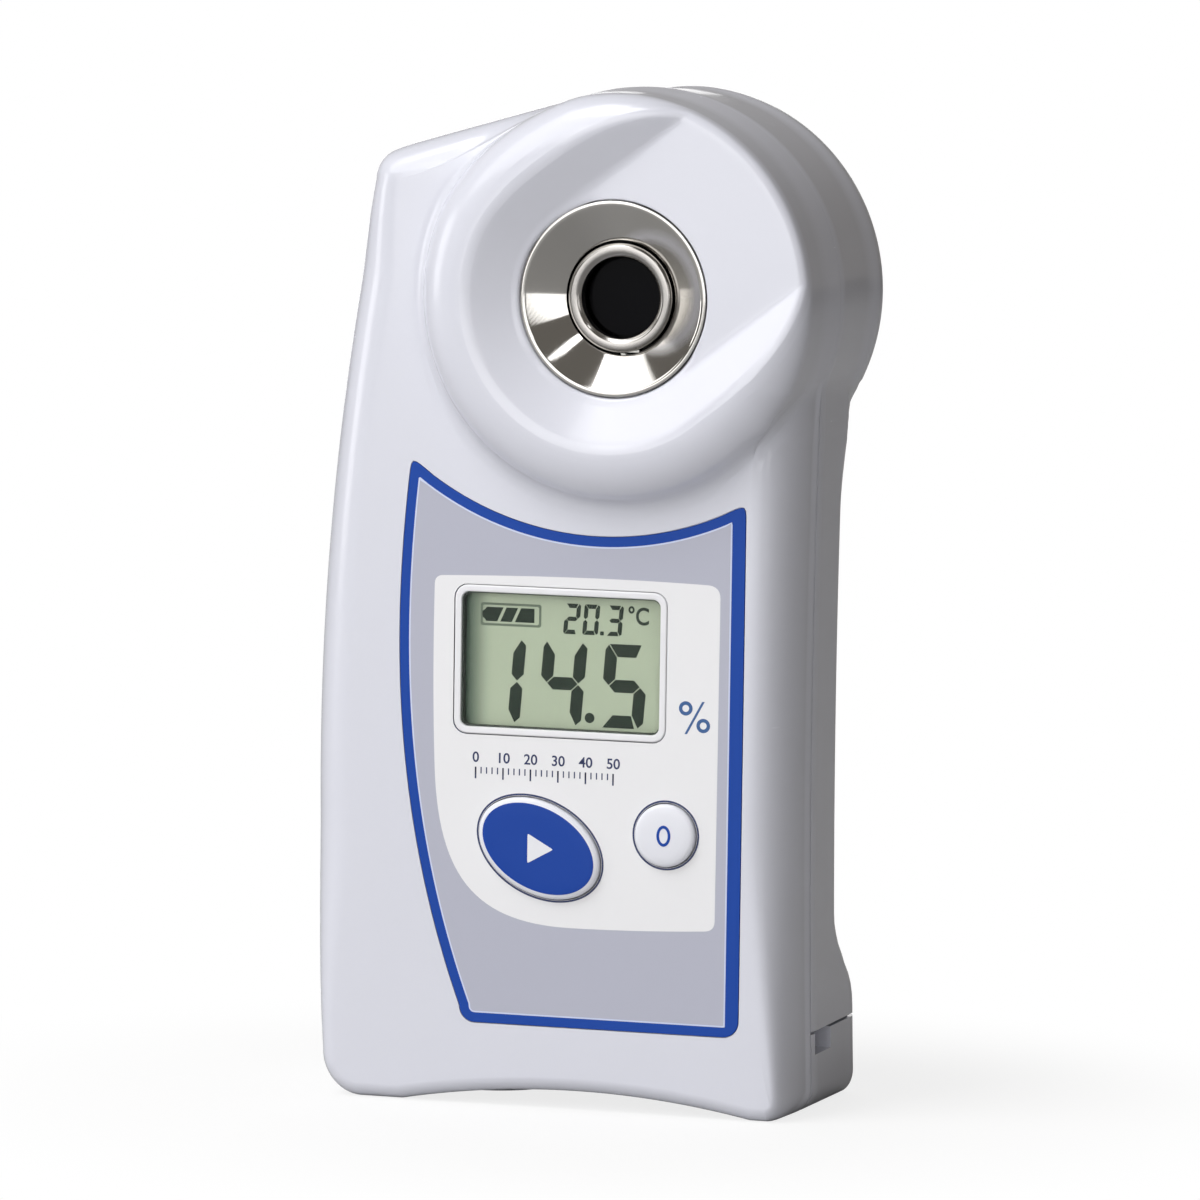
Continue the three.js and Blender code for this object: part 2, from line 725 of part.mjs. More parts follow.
// Circuit board
const boardThickness = 1;
const boardDepth = 5.2;
const boardFrontY = faceY + boardDepth;
const boardBackY = boardFrontY + boardThickness;
const boardLeft = -0.3439 * caseWidth;
const boardRight = 0.3965 * caseWidth;
const boardNarrowRight = 0.3333 * caseWidth;
const boardBottom = 0.162 * bodyTop;
const boardShoulderRise = 4;
const boardHeadRoom = 2.5;
const boardShoulder = lowerScrewZ + boardShoulderRise;
const boardTop = bodyTop - boardHeadRoom;
const boardPostRadius = 1.5;
const boardPostInset = 2.6;
const boardPostPlaces = [boardBottom + boardPostInset, boardTop - boardPostInset].flatMap((z) => [
  [boardLeft + boardPostInset, z], [boardNarrowRight - boardPostInset, z],
]);
const processorWidth = 7;
const processorHeight = 0.9;
const amplifierSize = [5, 4];
const amplifierHeight = 1.2;
const oscillatorSize = [3.6, 1.6];
const oscillatorHeight = 1.4;
const chips = [
  {
    name: 'processor_chip', centre: displayCentre,
    size: [processorWidth, processorWidth], height: processorHeight,
  },
  {
    name: 'amplifier_chip', centre: [-0.2368 * caseWidth, 0.3395 * bodyTop],
    size: amplifierSize, height: amplifierHeight,
  },
  {
    name: 'oscillator', centre: [0.2211 * caseWidth, 0.3241 * bodyTop],
    size: oscillatorSize, height: oscillatorHeight,
  },
];
const switchWidth = 6;
const switchSize = [switchWidth, switchWidth];
const switchHeight = 1.05;
const plungerRadius = 1.6;
const plungerHeight = 0.3;
const stemRadius = 1.6;

// Optics behind the stage, with sizes from the head's centre line
const opticsDepth = 6;
const opticsFrontY = dishFloorY + opticsDepth;
const prismFaceY = coneBottomY + prismBackset;
const prismPadRadius = 4.05;
const prismHalfWidth = 6;
const prismHalfHeight = 4.5;
const prismFrontY = barrelBackY + gap;
const prismDepth = 3.8;
const armReach = 14.5;
const armEndStep = 5;
const housingHalfFront = 7.5;
const housingHalfHeight = 8;
const housingDepth = 15;
const housingBackY = opticsFrontY + housingDepth;
const channelRadius = 2.6;
const earWidth = 5;
const earThickness = 3;
const opticsScrewOffset = 15.4;
const opticsScrewHeights = [headZ - opticsScrewOffset, headZ + opticsScrewOffset];
const plateThickness = 1;
const plateSize = [8.4, 9];
const chipRecess = 1.5;
const chipSize = 6;
const sensorThickness = 1;
const probeSize = [2, 1.6, 1.2];
const channelOverShare = 0.15;
const lampShare = 0.55;
const lensShares = [0.35, 0.6];
const crownShare = 0.55;
const crossShare = 0.62;
const slotShare = 0.16;

// Ribbon cable and its socket
const ribbonOffset = 11.7;
const ribbonRight = headX - ribbonOffset;
const ribbonWidth = 4.2;
const ribbonThickness = 0.3;
const ribbonEndDepth = 3.4;
const ribbonSteps = 10;
const ribbonShares = [0.6, 0.45];
const socketDepth = 1.2;
const socketHeight = 2.4;

// Cells and contacts
const cellShoulderShare = 0.08;
const nubRadius = 1.9;
const nubHeight = 0.9;
const trayWall = 0.8;
const trayBack = waistY - backWall - gap;
const cellRadius = (trayBack - boardBackY - cellBacking) / 2;
const cellPitch = 2 * cellRadius + cellSpacing;
const cellLength = bodyTop * cellLengthShare;
const trayRight = caseScrews[1].x - screwBossRadius - 2 * gap - seat;
const bayCentreX = trayRight - trayWall - gap - cellRadius - cellPitch / 2;
const contactRoom = 2.1;
const contactHalf = 3;
const contactThickness = 0.4;
const springRadius = 2.1;
const springWireRadius = 0.3;
const upperTurns = 2;
const lowerTurns = 3;
const coilSteps = 8;
const wireSides = 5;

// Rear information plate, left blank
const rearPlateCentre = [-0.0105 * caseWidth, 0.3945 * caseHeight];
const rearPlateSize = [0.5614 * caseWidth, 0.2202 * caseHeight];
const rearPlateThickness = 0.4;

// The openings for the display and the two keys, from in front of the face back to a depth
function faceOpenings(endY) {
  const startY = faceY - cutOverrun;
  const startEdge = grownEllipse(startCentre, startHalfSize, startTilt, gap);
  return [
    plateAlongY(rectanglePoints(displayCentre, displaySize, gap / 2), startY, endY),
    plateAlongY(startEdge, startY, endY),
    rodAlongY(...zeroCentre, zeroRadius + gap, startY, endY, keySides),
  ];
}

// Front case
function makeFrontCase() {
  const skin = wall + frontTaper;
  const edgeSkin = frontEdgeLeft - wall / 2;
  const edgeY = insideFrontY + wall;
  let shell = ringSolid(frontRings());
  const hollow = joined(
    plateAlongY(outlineInset(edgeSkin), insideFrontY, seamY + cutOverrun),
    plateAlongY(outlineInset(skin), edgeY, seamY + cutOverrun),
    rodAlongY(headX, headZ, headRadius - skin, faceY, seamY + cutOverrun, fineSides),
  );
  shell = shell.subtract(hollow);
  const bossRadius = barrelRadius + nutWidth + wall;
  const stageBoss = rodAlongY(headX, headZ, bossRadius, faceY - seat, bossBackY, fineSides);
  const opticsBosses = opticsScrewHeights.map((z) => (
    rodAlongY(headX, z, screwBossRadius, faceY - seat, opticsFrontY - seat)
  ));
  const caseBosses = caseScrews.map(({ x, z }) => (
    rodAlongY(x, z, screwBossRadius, insideFrontY - seat, frontSeamY - seamGap)
  ));
  const boardPosts = boardPostPlaces.map(([x, z]) => (
    rodAlongY(x, z, boardPostRadius, insideFrontY - seat, boardFrontY - seat)
  ));
  shell = joined(shell, stageBoss, ...opticsBosses, ...caseBosses, ...boardPosts);
  const grooveOutside = outlineInset(gasketInset - gap / 2);
  const grooveInside = outlineInset(gasketInset + gasketWidth + gap / 2);
  const gasketGroove = cut(
    plateAlongY(grooveOutside, frontSeamY - gasketDepth, seamY + cutOverrun),
    plateAlongY(grooveInside, frontSeamY - 2 * gasketDepth, seamY + 2 * cutOverrun),
  );
  const boreRadius = screwRadius + gap;
  const opticsBores = opticsScrewHeights.map((z) => (
    rodAlongY(headX, z, boreRadius, opticsFrontY - screwBite, seamY, coarseSides)
  ));
  const caseBores = caseScrews.map(({ x, z }) => (
    rodAlongY(x, z, boreRadius, frontSeamY - screwBite - gap, seamY, coarseSides)
  ));
  shell = cut(
    shell,
    rodAlongY(headX, headZ, stageRadius + gap, crestY, flangeSeatY, fineSides),
    rodAlongY(headX, headZ, barrelRadius + gap, crestY, bossBackY + cutOverrun, fineSides),
    plateAlongY(overlayPoints(gap / 2), faceY - cutOverrun, overlayBackY + seat),
    ...faceOpenings(insideFrontY + cutOverrun),
    gasketGroove,
    ...opticsBores,
    ...caseBores,
  );
  add('front_case', shell, casePlastic);
}

// Everything between two heights
function slab(z0, z1) {
  return block(-caseWidth, caseWidth, crestY - cutOverrun, backY + cutOverrun, z0, z1);
}

// Rear case, its bottom open over the battery cap
function makeRearCase() {
  const rearBottom = capHeight + gap / 2;
  let shell = backOuter.intersect(slab(rearBottom, caseHeight + cutOverrun));
  shell = shell.subtract(backHollow);
  const tubes = caseScrews.map(({ x, z }) => (
    rodAlongY(x, z, screwBossRadius + gap, rearSeamY + seamGap, backYAt(z) - seat)
  ));
  const plateSeat = rectanglePoints(rearPlateCentre, rearPlateSize, gap / 2);
  const strapRoof = backOuter.intersect(block(
    strapPocketLeft - wall, caseWidth, rearSeamY, strapBack + wall, rearBottom, rearBottom + wall,
  ));
  shell = joined(shell, ...tubes, strapRoof);
  shell = cut(
    shell,
    ...caseScrews.map(({ x, z }) => (
      rodAlongY(x, z, screwRadius + gap, seamY, backY + cutOverrun, slimSides)
    )),
    ...caseScrews.map(({ x, z }) => (
      rodAlongY(x, z, screwHeadRadius + gap, rearSeamY + seamGap + screwFloor, backY + cutOverrun)
    )),
    plateAlongY(plateSeat, waistY - rearPlateThickness, backY),
  );
  add('rear_case', shell, casePlastic);
}

// Battery cap: the foot of the rear half, with a strap slot in its right side
function makeBatteryCap() {
  const capTop = capHeight - gap / 2;
  let cap = backOuter.intersect(slab(-cutOverrun, capTop));
  cap = cap.subtract(backHollow.intersect(slab(capFloorTop, capHeight + cutOverrun)));
  const rebate = cut(
    capRing(capGasketInset).intersect(slab(capTop - capGasketHeight, capHeight + cutOverrun)),
    capRing(backWall + gap),
  );
  const wallLeft = strapPocketLeft - wall;
  const wallBack = strapBack + wall;
  const wallFoot = capFloorTop - seat;
  const overTop = capTop + cutOverrun;
  cap = joined(
    cap.subtract(rebate),
    block(wallLeft, strapPocketLeft + seat, rearSeamY, wallBack, wallFoot, capTop),
    block(wallLeft, sideX - wall, strapBack - seat, wallBack, wallFoot, capTop),
  );
  cap = cut(
    cap,
    block(strapPocketLeft, strapBarInside, strapFront, strapBack, -cutOverrun, overTop),
    block(strapPocketLeft, sideX + cutOverrun, strapFront, strapBack, strapSlotBottom, overTop),
    rodAlongZ(...knobCentre, knobRadius + gap, -cutOverrun, knobThickness + gap, fineSides),
    rodAlongZ(...knobCentre, shaftRadius + gap, -cutOverrun, capHeight, smallSides),
  );
  add('battery_cap', cap, casePlastic);

  const gasketBottom = capTop - capGasketHeight + seat;
  const gasketTop = capHeight + gap / 2 - seat;
  const inFront = crestY - cutOverrun;
  const gasket = cut(
    capRing(capGasketInset + gap / 2).intersect(slab(gasketBottom, gasketTop)),
    capRing(capGasketInset + capGasketWidth),
    block(-caseWidth, caseWidth, inFront, rearSeamY + gap, 0, caseHeight),
    block(strapPocketLeft, caseWidth, inFront, wallBack + gap, 0, caseHeight),
  );
  add('cap_gasket', gasket, greyRubber);
}

function capRing(inset) {
  return ringSolid(backRings(inset, seamY - cutOverrun));
}

// Stage: the steel cone, its retaining nut, its seal, the collar and the prism
function makeStage() {
  const slopeRun = stageRadius - rimWidth;
  const bore = collarRadius + gap;
  add('stage_ring', turnedAboutY([
    [bore, coneBottomY],
    [slopeRun, dishFloorY],
    [stageRadius, dishFloorY],
    [stageRadius, dishFloorY + flangeThickness],
    [barrelRadius, dishFloorY + flangeThickness],
    [barrelRadius, barrelBackY],
    [bore, barrelBackY],
    [bore, coneBottomY],
  ], headX, headZ, coneSides), steel);
  const sealFront = dishFloorY + flangeThickness + seat;
  const sealBack = sealFront + sealThickness;
  const sealInside = barrelRadius + gap;
  add('stage_seal', cut(
    rodAlongY(headX, headZ, sealInside + sealWidth, sealFront, sealBack, barrelSides),
    rodAlongY(headX, headZ, sealInside, sealFront - cutOverrun, sealBack + cutOverrun, barrelSides),
  ), greyRubber);
  const nutFront = bossBackY + seat;
  const nutBack = nutFront + nutThickness;
  const nutInside = barrelRadius + gap;
  add('stage_nut', cut(
    rodAlongY(headX, headZ, nutInside + nutWidth, nutFront, nutBack),
    rodAlongY(headX, headZ, nutInside, nutFront - cutOverrun, nutBack + cutOverrun, barrelSides),
  ), blackPlastic);
  const collarFront = coneBottomY - collarRise;
  const collarBack = prismFrontY - seat;
  const lip = (collarRadius - collarBoreRadius) * lipShare;
  add('prism_collar', turnedAboutY([
    [collarBoreRadius, collarFront + lip],
    [collarBoreRadius + lip, collarFront],
    [collarRadius - lip, collarFront],
    [collarRadius, collarFront + lip],
    [collarRadius, collarBack],
    [collarBoreRadius, collarBack],
    [collarBoreRadius, collarFront + lip],
  ], headX, headZ, fineSides), steel);
  const prismBackY = prismFrontY + prismDepth;
  const backHalfWidth = prismHalfWidth - prismDepth;
  const facet = [
    [headX - prismHalfWidth, prismFrontY], [headX + prismHalfWidth, prismFrontY],
    [headX + backHalfWidth, prismBackY], [headX - backHalfWidth, prismBackY],
  ];
  const prism = joined(
    rodAlongY(headX, headZ, prismPadRadius, prismFaceY, prismFrontY + seat, plainSides),
    plateAlongZ(facet, headZ - prismHalfHeight, headZ + prismHalfHeight),
  );
  add('prism', prism, prismGlass);
}

// Overlay, display and its frame
function makeDisplay() {
  const film = plateAlongY(overlayPoints(0), overlayFrontY, overlayBackY);
  add('label_overlay', cut(film, ...faceOpenings(faceY + cutOverrun)), overlayPrint);

  const windowSize = displaySize.map((size) => size - 2 * frameWall);
  const glassSize = displaySize.map((size) => size - 2 * glassInset);
  const windowBackY = overlayFrontY + windowThickness;
  const bezelBackY = windowBackY + bezelDepth;
  const flangeFrontY = insideFrontY + seat;
  const flangeBackY = flangeFrontY + frameFlangeThickness;
  const taper = windowSize.map((size, i) => [size - gap, glassSize[i]]);
  const around = (size, growth) => rectanglePoints(displayCentre, size, growth);
  const frame = cut(
    joined(
      plateAlongY(around(displaySize, 0), overlayFrontY, flangeFrontY + seat),
      plateAlongY(around(displaySize, frameFlange), flangeFrontY, flangeBackY),
    ),
    plateAlongY(around(windowSize, seat), overlayFrontY - cutOverrun, windowBackY + seat),
    taperedHole(displayCentre, taper, windowBackY, bezelBackY),
    plateAlongY(around(windowSize, -seat), bezelBackY - seat, flangeBackY + cutOverrun),
  );
  add('display_frame', frame, keyWhite);
  const window = plateAlongY(around(windowSize, -seat), overlayFrontY, windowBackY);
  add('display_window', window, clearPlastic);
  const panelFrontY = bezelBackY + seat;
  const panelBackY = panelFrontY + panelThickness;
  const panel = plateAlongY(around(windowSize, -3 * seat), panelFrontY, panelBackY);
  add('display_panel', panel, displayGlass);
  const stripHeight = (windowSize[1] - glassSize[1]) / 2 + windowThickness;
  [['upper', 1], ['lower', -1]].forEach(([side, way]) => {
    const middle = displayCentre[1] + way * (windowSize[1] / 2 - 4 * seat - stripHeight / 2);
    const stripOutline = rectanglePoints([displayCentre[0], middle], [glassSize[0], stripHeight]);
    const strip = plateAlongY(stripOutline, panelBackY + seat, boardFrontY - seat);
    add(`display_connector_${side}`, strip, greyRubber);
  });
}

// A square hole that narrows from one size at the front to another at the back
function taperedHole(centre, sizes, mouthY, endY) {
  const ring = (which, y) => {
    const corners = rectanglePoints(centre, sizes.map((pair) => pair[which]));
    return corners.map(([x, z]) => [x, y, z]);
  };
  return solidBetween(ring(0, mouthY), ring(1, endY));
}

// A solid between two outlines with as many points each
function solidBetween(ringA, ringB) {
  const count = ringA.length;
  const places = [];
  const put = (...corners) => corners.forEach((corner) => places.push(...corner));
  for (let i = 0; i < count; i += 1) {
    const j = (i + 1) % count;
    put(ringA[i], ringB[i], ringB[j]);
    put(ringA[i], ringB[j], ringA[j]);
    if (i > 0 && j > 0) {
      put(ringA[0], ringA[i], ringA[j]);
      put(ringB[0], ringB[j], ringB[i]);
    }
  }
  const geometry = new THREE.BufferGeometry();
  geometry.setAttribute('position', new THREE.BufferAttribute(new Float32Array(places), 3));
  return solidOf(geometry);
}

// Keys: a crowned cap in front of the case, a flange behind its wall and a stem
function makeKeys() {
  const keys = [
    { name: 'start_button', centre: startCentre, halfSize: startHalfSize, tilt: startTilt },
    { name: 'zero_button', centre: zeroCentre, halfSize: [zeroRadius, zeroRadius], tilt: 0 },
  ];
  const topY = overlayFrontY - keyProud;
  const flangeFrontY = insideFrontY + gap;
  const flangeBackY = flangeFrontY + keyFlangeThickness;
  const switchBackY = boardFrontY - seat;
  const switchFrontY = switchBackY - switchHeight;
  const plungerTopY = switchFrontY - plungerHeight;
  const stemEndY = plungerTopY - keyTravel - 2 * seat;
  keys.forEach(({ name, centre, halfSize, tilt }) => {
    const edge = (growth) => grownEllipse(centre, halfSize, tilt, growth);
    const key = joined(
      plateAlongY(edge(-2 * keyCrown), topY - keyCrown, topY + keyCrown),
      plateAlongY(edge(0), topY, flangeFrontY + seat),
      plateAlongY(edge(keyFlange), flangeFrontY, flangeBackY),
      rodAlongY(...centre, stemRadius, flangeFrontY, stemEndY, slimSides),
    );
    add(name, key, name === 'start_button' ? keyBlue : keyWhite);
  });
  const switches = [['start_switch', startCentre], ['zero_switch', zeroCentre]];
  switches.forEach(([name, centre]) => {
    const body = plateAlongY(rectanglePoints(centre, switchSize), switchFrontY, switchBackY);
    const plungerEndY = switchFrontY + seat;
    const plunger = rodAlongY(...centre, plungerRadius, plungerTopY, plungerEndY, slimSides);
    add(name, joined(body, plunger), blackPlastic);
  });
}

// Circuit board with the chips that stand on it
function makeBoard() {
  const board = plateAlongY([
    [boardLeft, boardBottom], [boardNarrowRight, boardBottom], [boardNarrowRight, boardShoulder],
    [boardRight, boardShoulder], [boardRight, boardTop], [boardLeft, boardTop],
  ], boardFrontY, boardBackY);
  add('main_board', board, boardGreen);
  const backOfChips = boardFrontY - seat;
  chips.forEach(({ name, centre, size, height }) => {
    const chip = plateAlongY(rectanglePoints(centre, size), backOfChips - height, backOfChips);
    add(name, chip, chipBlack);
  });
}

// Optics: a black housing with a lamp at one side of the prism and a sensor at the other
function makeOptics() {
  const atHead = (points) => points.map(([x, y]) => [headX + x, y]);
  const armEnd = armReach - armEndStep;
  const frontBevel = armReach - housingHalfFront;
  const armFrontY = opticsFrontY + frontBevel;
  const armBackY = armFrontY + armEndStep;
  const housingOutline = atHead([
    [-housingHalfFront, opticsFrontY], [housingHalfFront, opticsFrontY],
    [armReach, armFrontY], [armEnd, armBackY],
    [housingHalfFront / 2, housingBackY], [-housingHalfFront / 2, housingBackY],
    [-armEnd, armBackY], [-armReach, armFrontY],
  ]);
  const ear = block(
    headX - earWidth / 2, headX + earWidth / 2, opticsFrontY, opticsFrontY + earThickness,
    headZ - opticsScrewOffset, headZ + opticsScrewOffset,
  );
  const earEnds = opticsScrewHeights.map((z) => (
    rodAlongY(headX, z, screwBossRadius + gap, opticsFrontY, opticsFrontY + earThickness, smallSides)
  ));
  const housingBlock = plateAlongZ(housingOutline, headZ - housingHalfHeight, headZ + housingHalfHeight);
  let housing = joined(housingBlock, ear, ...earEnds);
  const pocketHalf = prismHalfWidth + gap;
  const pocketMouthY = opticsFrontY - cutOverrun;
  const pocketStepY = prismFrontY + gap;
  const pocketEndY = pocketStepY + prismDepth;
  const pocketOutline = atHead([
    [-pocketHalf, pocketMouthY], [pocketHalf, pocketMouthY],
    [pocketHalf, pocketStepY], [pocketHalf - prismDepth, pocketEndY],
    [prismDepth - pocketHalf, pocketEndY], [-pocketHalf, pocketStepY],
  ]);
  const pocketHalfHeight = prismHalfHeight + gap;
  const pocket = plateAlongZ(pocketOutline, headZ - pocketHalfHeight, headZ + pocketHalfHeight);
  const facetX = prismHalfWidth - prismDepth / 2;
  const facetY = prismFrontY + prismDepth / 2;
  const endX = (armReach + armEnd) / 2;
  const endY = (armFrontY + armBackY) / 2;
  const along = (way, share) => [
    headX + way * mix(facetX, endX, share), mix(facetY, endY, share), headZ,
  ];
  const channels = [-1, 1].map((way) => (
    rodBetween(along(way, -channelOverShare), along(way, 1 + channelOverShare), channelRadius)
  ));
  const probeHalf = probeSize[0] / 2;
  const probeTop = headZ - prismHalfHeight - gap;
  const probeBottom = probeTop - probeSize[2];
  const probeHole = block(
    headX - probeHalf - gap, headX + probeHalf + gap,
    pocketMouthY, opticsFrontY + probeSize[1] + gap,
    probeBottom - 2 * gap, headZ - prismHalfHeight,
  );
  const recessSize = [chipSize + 2 * gap, chipSize + 2 * gap];
  const recess = turnedPlate(-1, endX, endY, recessSize, -chipRecess, cutOverrun);
  const screwBores = opticsScrewHeights.map((z) => (
    rodAlongY(headX, z, screwRadius + gap, pocketMouthY, housingBackY, slimSides)
  ));
  housing = cut(housing, pocket, ...channels, recess, probeHole, ...screwBores);
  add('optics_housing', housing, blackPlastic);
  const atArm = (way, size, near, far) => turnedPlate(way, endX, endY, size, near, far);
  const sensorFace = gap - seat - sensorThickness;
  add('sensor_board', atArm(-1, plateSize, gap, gap + plateThickness), boardGreen);
  add('image_sensor', atArm(-1, [chipSize, chipSize], sensorFace, gap - seat), chipBlack);
  add('lamp_board', atArm(1, plateSize, gap, gap + plateThickness), boardGreen);
  const lampRadius = channelRadius - 2 * gap;
  const lensRadius = channelRadius - gap;
  const [lensStart, lensEnd] = lensShares.map((share) => along(-1, share));
  add('lamp', rodBetween(along(1, 1), along(1, lampShare), lampRadius, smallSides), lampClear);
  add('focus_lens', rodBetween(lensStart, lensEnd, lensRadius, smallSides), clearPlastic);
  add('temperature_probe', block(
    headX - probeHalf, headX + probeHalf,
    opticsFrontY, opticsFrontY + probeSize[1], probeBottom, probeTop,
  ), springSteel);
  opticsScrewHeights.forEach((z, i) => {
    const seatY = opticsFrontY + earThickness + seat;
    const screw = screwSolid(headX, z, seatY, earThickness + screwBite - gap);
    add(`optics_screw_${i ? 'upper' : 'lower'}`, screw, springSteel);
  });
}

// A small square plate that stands across one arm of the optics, square to its channel
function turnedPlate(way, endX, endY, [width, height], near, far) {
  const geometry = new THREE.BoxGeometry(width, far - near, height);
  geometry.translate(0, (near + far) / 2, 0);
  geometry.rotateZ(-way * Math.PI / 4);
  geometry.translate(headX + way * endX, endY, headZ);
  return solidOf(geometry);
}

// A pan head screw driven in from the back, with a cross recess
function screwSolid(x, z, seatY, length) {
  const body = turnedAboutY([
    [0, seatY - length], [screwRadius, seatY - length + screwRadius], [screwRadius, seatY],
    [screwHeadRadius, seatY], [screwHeadRadius, seatY + screwHeadHeight / 2],
    [screwHeadRadius * crownShare, seatY + screwHeadHeight], [0, seatY + screwHeadHeight],
  ], x, z, slimSides);
  const arm = screwHeadRadius * crossShare;
  const slotHalf = screwHeadRadius * slotShare;
  const recessY = seatY + screwHeadHeight / 2;
  const topY = seatY + screwHeadHeight + cutOverrun;
  const slots = [
    block(x - arm, x + arm, recessY, topY, z - slotHalf, z + slotHalf),
    block(x - slotHalf, x + slotHalf, recessY, topY, z - arm, z + arm),
  ];
  return cut(body, ...slots);
}

function makeCaseScrews() {
  caseScrews.forEach(({ name, x, z }) => {
    const seatY = rearSeamY + seamGap + screwFloor + seat;
    const length = screwFloor + 2 * seamGap + screwBite - gap;
    add(name, screwSolid(x, z, seatY, length), springSteel);
  });
}

// Ribbon cable from the sensor board down to its socket on the main board
function makeRibbon() {
  const socketFront = boardBackY + seat;
  const [left, right] = [ribbonRight - ribbonWidth - gap, ribbonRight + gap];
  const socketBack = socketFront + socketDepth;
  const socketBottom = boardTop - socketHeight;
  const socket = block(left, right, socketFront, socketBack, socketBottom, boardTop);
  add('ribbon_socket', socket, blackPlastic);
  const startY = socketFront + socketDepth / 2;
  const sensorBottom = headZ - plateSize[1] / 2 - gap;
  const endY = opticsFrontY + armReach - housingHalfFront + ribbonEndDepth;
  const bottom = boardTop + gap;
  const bendHeights = ribbonShares.map((share) => mix(bottom, sensorBottom, share));
  const side = new THREE.CubicBezierCurve(
    new THREE.Vector2(startY, bottom), new THREE.Vector2(startY, bendHeights[0]),
    new THREE.Vector2(endY, bendHeights[1]), new THREE.Vector2(endY, sensorBottom),
  );
  const middle = side.getPoints(ribbonSteps);
  const edge = (way) => middle.map((place, i) => {
    const tangent = side.getTangent(i / ribbonSteps);
    const half = way * ribbonThickness / 2;
    return [place.x - tangent.y * half, place.y + tangent.x * half];
  });
  const loop = [...edge(1), ...edge(-1).reverse()];
  const ringAt = (x) => loop.map(([y, z]) => [x, y, z]);
  add('ribbon_cable', stripSolid(ringAt(left + gap), ringAt(right - gap)), ribbonAmber);
}

// A strip between two like outlines, closed at its ends along the strip's own length
function stripSolid(ringA, ringB) {
  const count = ringA.length;
  const half = count / 2;
  const places = [];
  const put = (...corners) => corners.forEach((corner) => places.push(...corner));
  for (let i = 0; i < count; i += 1) {
    const j = (i + 1) % count;
    put(ringA[i], ringB[i], ringB[j]);
    put(ringA[i], ringB[j], ringA[j]);
  }
  for (let i = 0; i + 1 < half; i += 1) {
    const [a, b] = [count - 1 - i, count - 2 - i];
    put(ringA[i], ringA[i + 1], ringA[b]);
    put(ringA[i], ringA[b], ringA[a]);
    put(ringB[i], ringB[b], ringB[i + 1]);
    put(ringB[i], ringB[a], ringB[b]);
  }
  const geometry = new THREE.BufferGeometry();
  geometry.setAttribute('position', new THREE.BufferAttribute(new Float32Array(places), 3));
  return solidOf(geometry);
}

// Cells, tray and contacts
function makePower() {
  const cellY = trayBack - cellRadius;
  const cellXs = [bayCentreX - cellPitch / 2, bayCentreX + cellPitch / 2];
  const cellTop = cellBottom + cellLength;
  const shoulder = cellRadius * cellShoulderShare;
  const neck = cellRadius - shoulder;
  const canTop = cellLength - nubHeight;
  cellXs.forEach((x, i) => {
    const place = (height) => (i ? cellTop - height : cellBottom + height);
    add(`battery_${i + 1}`, turnedAboutZ([
      [0, place(0)], [neck, place(0)], [cellRadius, place(shoulder)],
      [cellRadius, place(canTop - shoulder)], [neck, place(canTop)],
      [nubRadius, place(canTop)], [nubRadius, place(cellLength)], [0, place(cellLength)],
    ], x, cellY, roundSides), cellJacket);
  });
  const trayLeft = cellXs[0] - cellRadius - gap - trayWall;
  const trayFront = boardBackY + gap;
  const trayBottom = capHeight + gap;
  const contactBase = cellTop + contactRoom;
  const trayTop = contactBase + plateThickness;
  const cellFront = cellY - cellRadius - gap;
  const underTray = trayBottom - cutOverrun;
  const behindTray = trayBack + cutOverrun;
  const [bayLeft, bayRight] = [trayLeft + trayWall, trayRight - trayWall];
  add('battery_tray', cut(
    block(trayLeft, trayRight, trayFront, trayBack, trayBottom, trayTop),
    block(bayLeft, bayRight, cellFront, behindTray, underTray, contactBase),
  ), blackPlastic);
  const [first, second] = cellXs;
  const platePiece = (x, z0, z1) => block(
    x - contactHalf, x + contactHalf, cellY - contactHalf, cellY + contactHalf, z0, z1,
  );
  const plateTop = contactBase - seat;
  const plateBottom = plateTop - contactThickness;
  const cellClear = cellTop + gap / 2;
  add('contact_plate', joined(
    platePiece(first, plateBottom, plateTop),
    rodAlongZ(first, cellY, nubRadius, cellClear, plateTop - seat, slimSides),
  ), goldContact);
  const upperCoil = coil(second, cellY, cellClear, plateTop - gap / 2, upperTurns);
  add('contact_spring', upperCoil, springSteel);
  const capPlateBottom = capFloorTop + seat;
  const capPlateTop = capPlateBottom + contactThickness;
  const [plateLeft, plateRight] = [first - contactHalf, second + contactHalf];
  const [plateFront, plateBack] = [cellY - contactHalf, cellY + contactHalf];
  add('cap_contact_plate', joined(
    block(plateLeft, plateRight, plateFront, plateBack, capPlateBottom, capPlateTop),
    rodAlongZ(second, cellY, nubRadius, capPlateTop - seat, cellBottom - gap, slimSides),
  ), goldContact);
  const lowerCoil = coil(first, cellY, capPlateTop + gap / 2, cellBottom - gap, lowerTurns);
  add('cap_contact_spring', lowerCoil, springSteel);
}

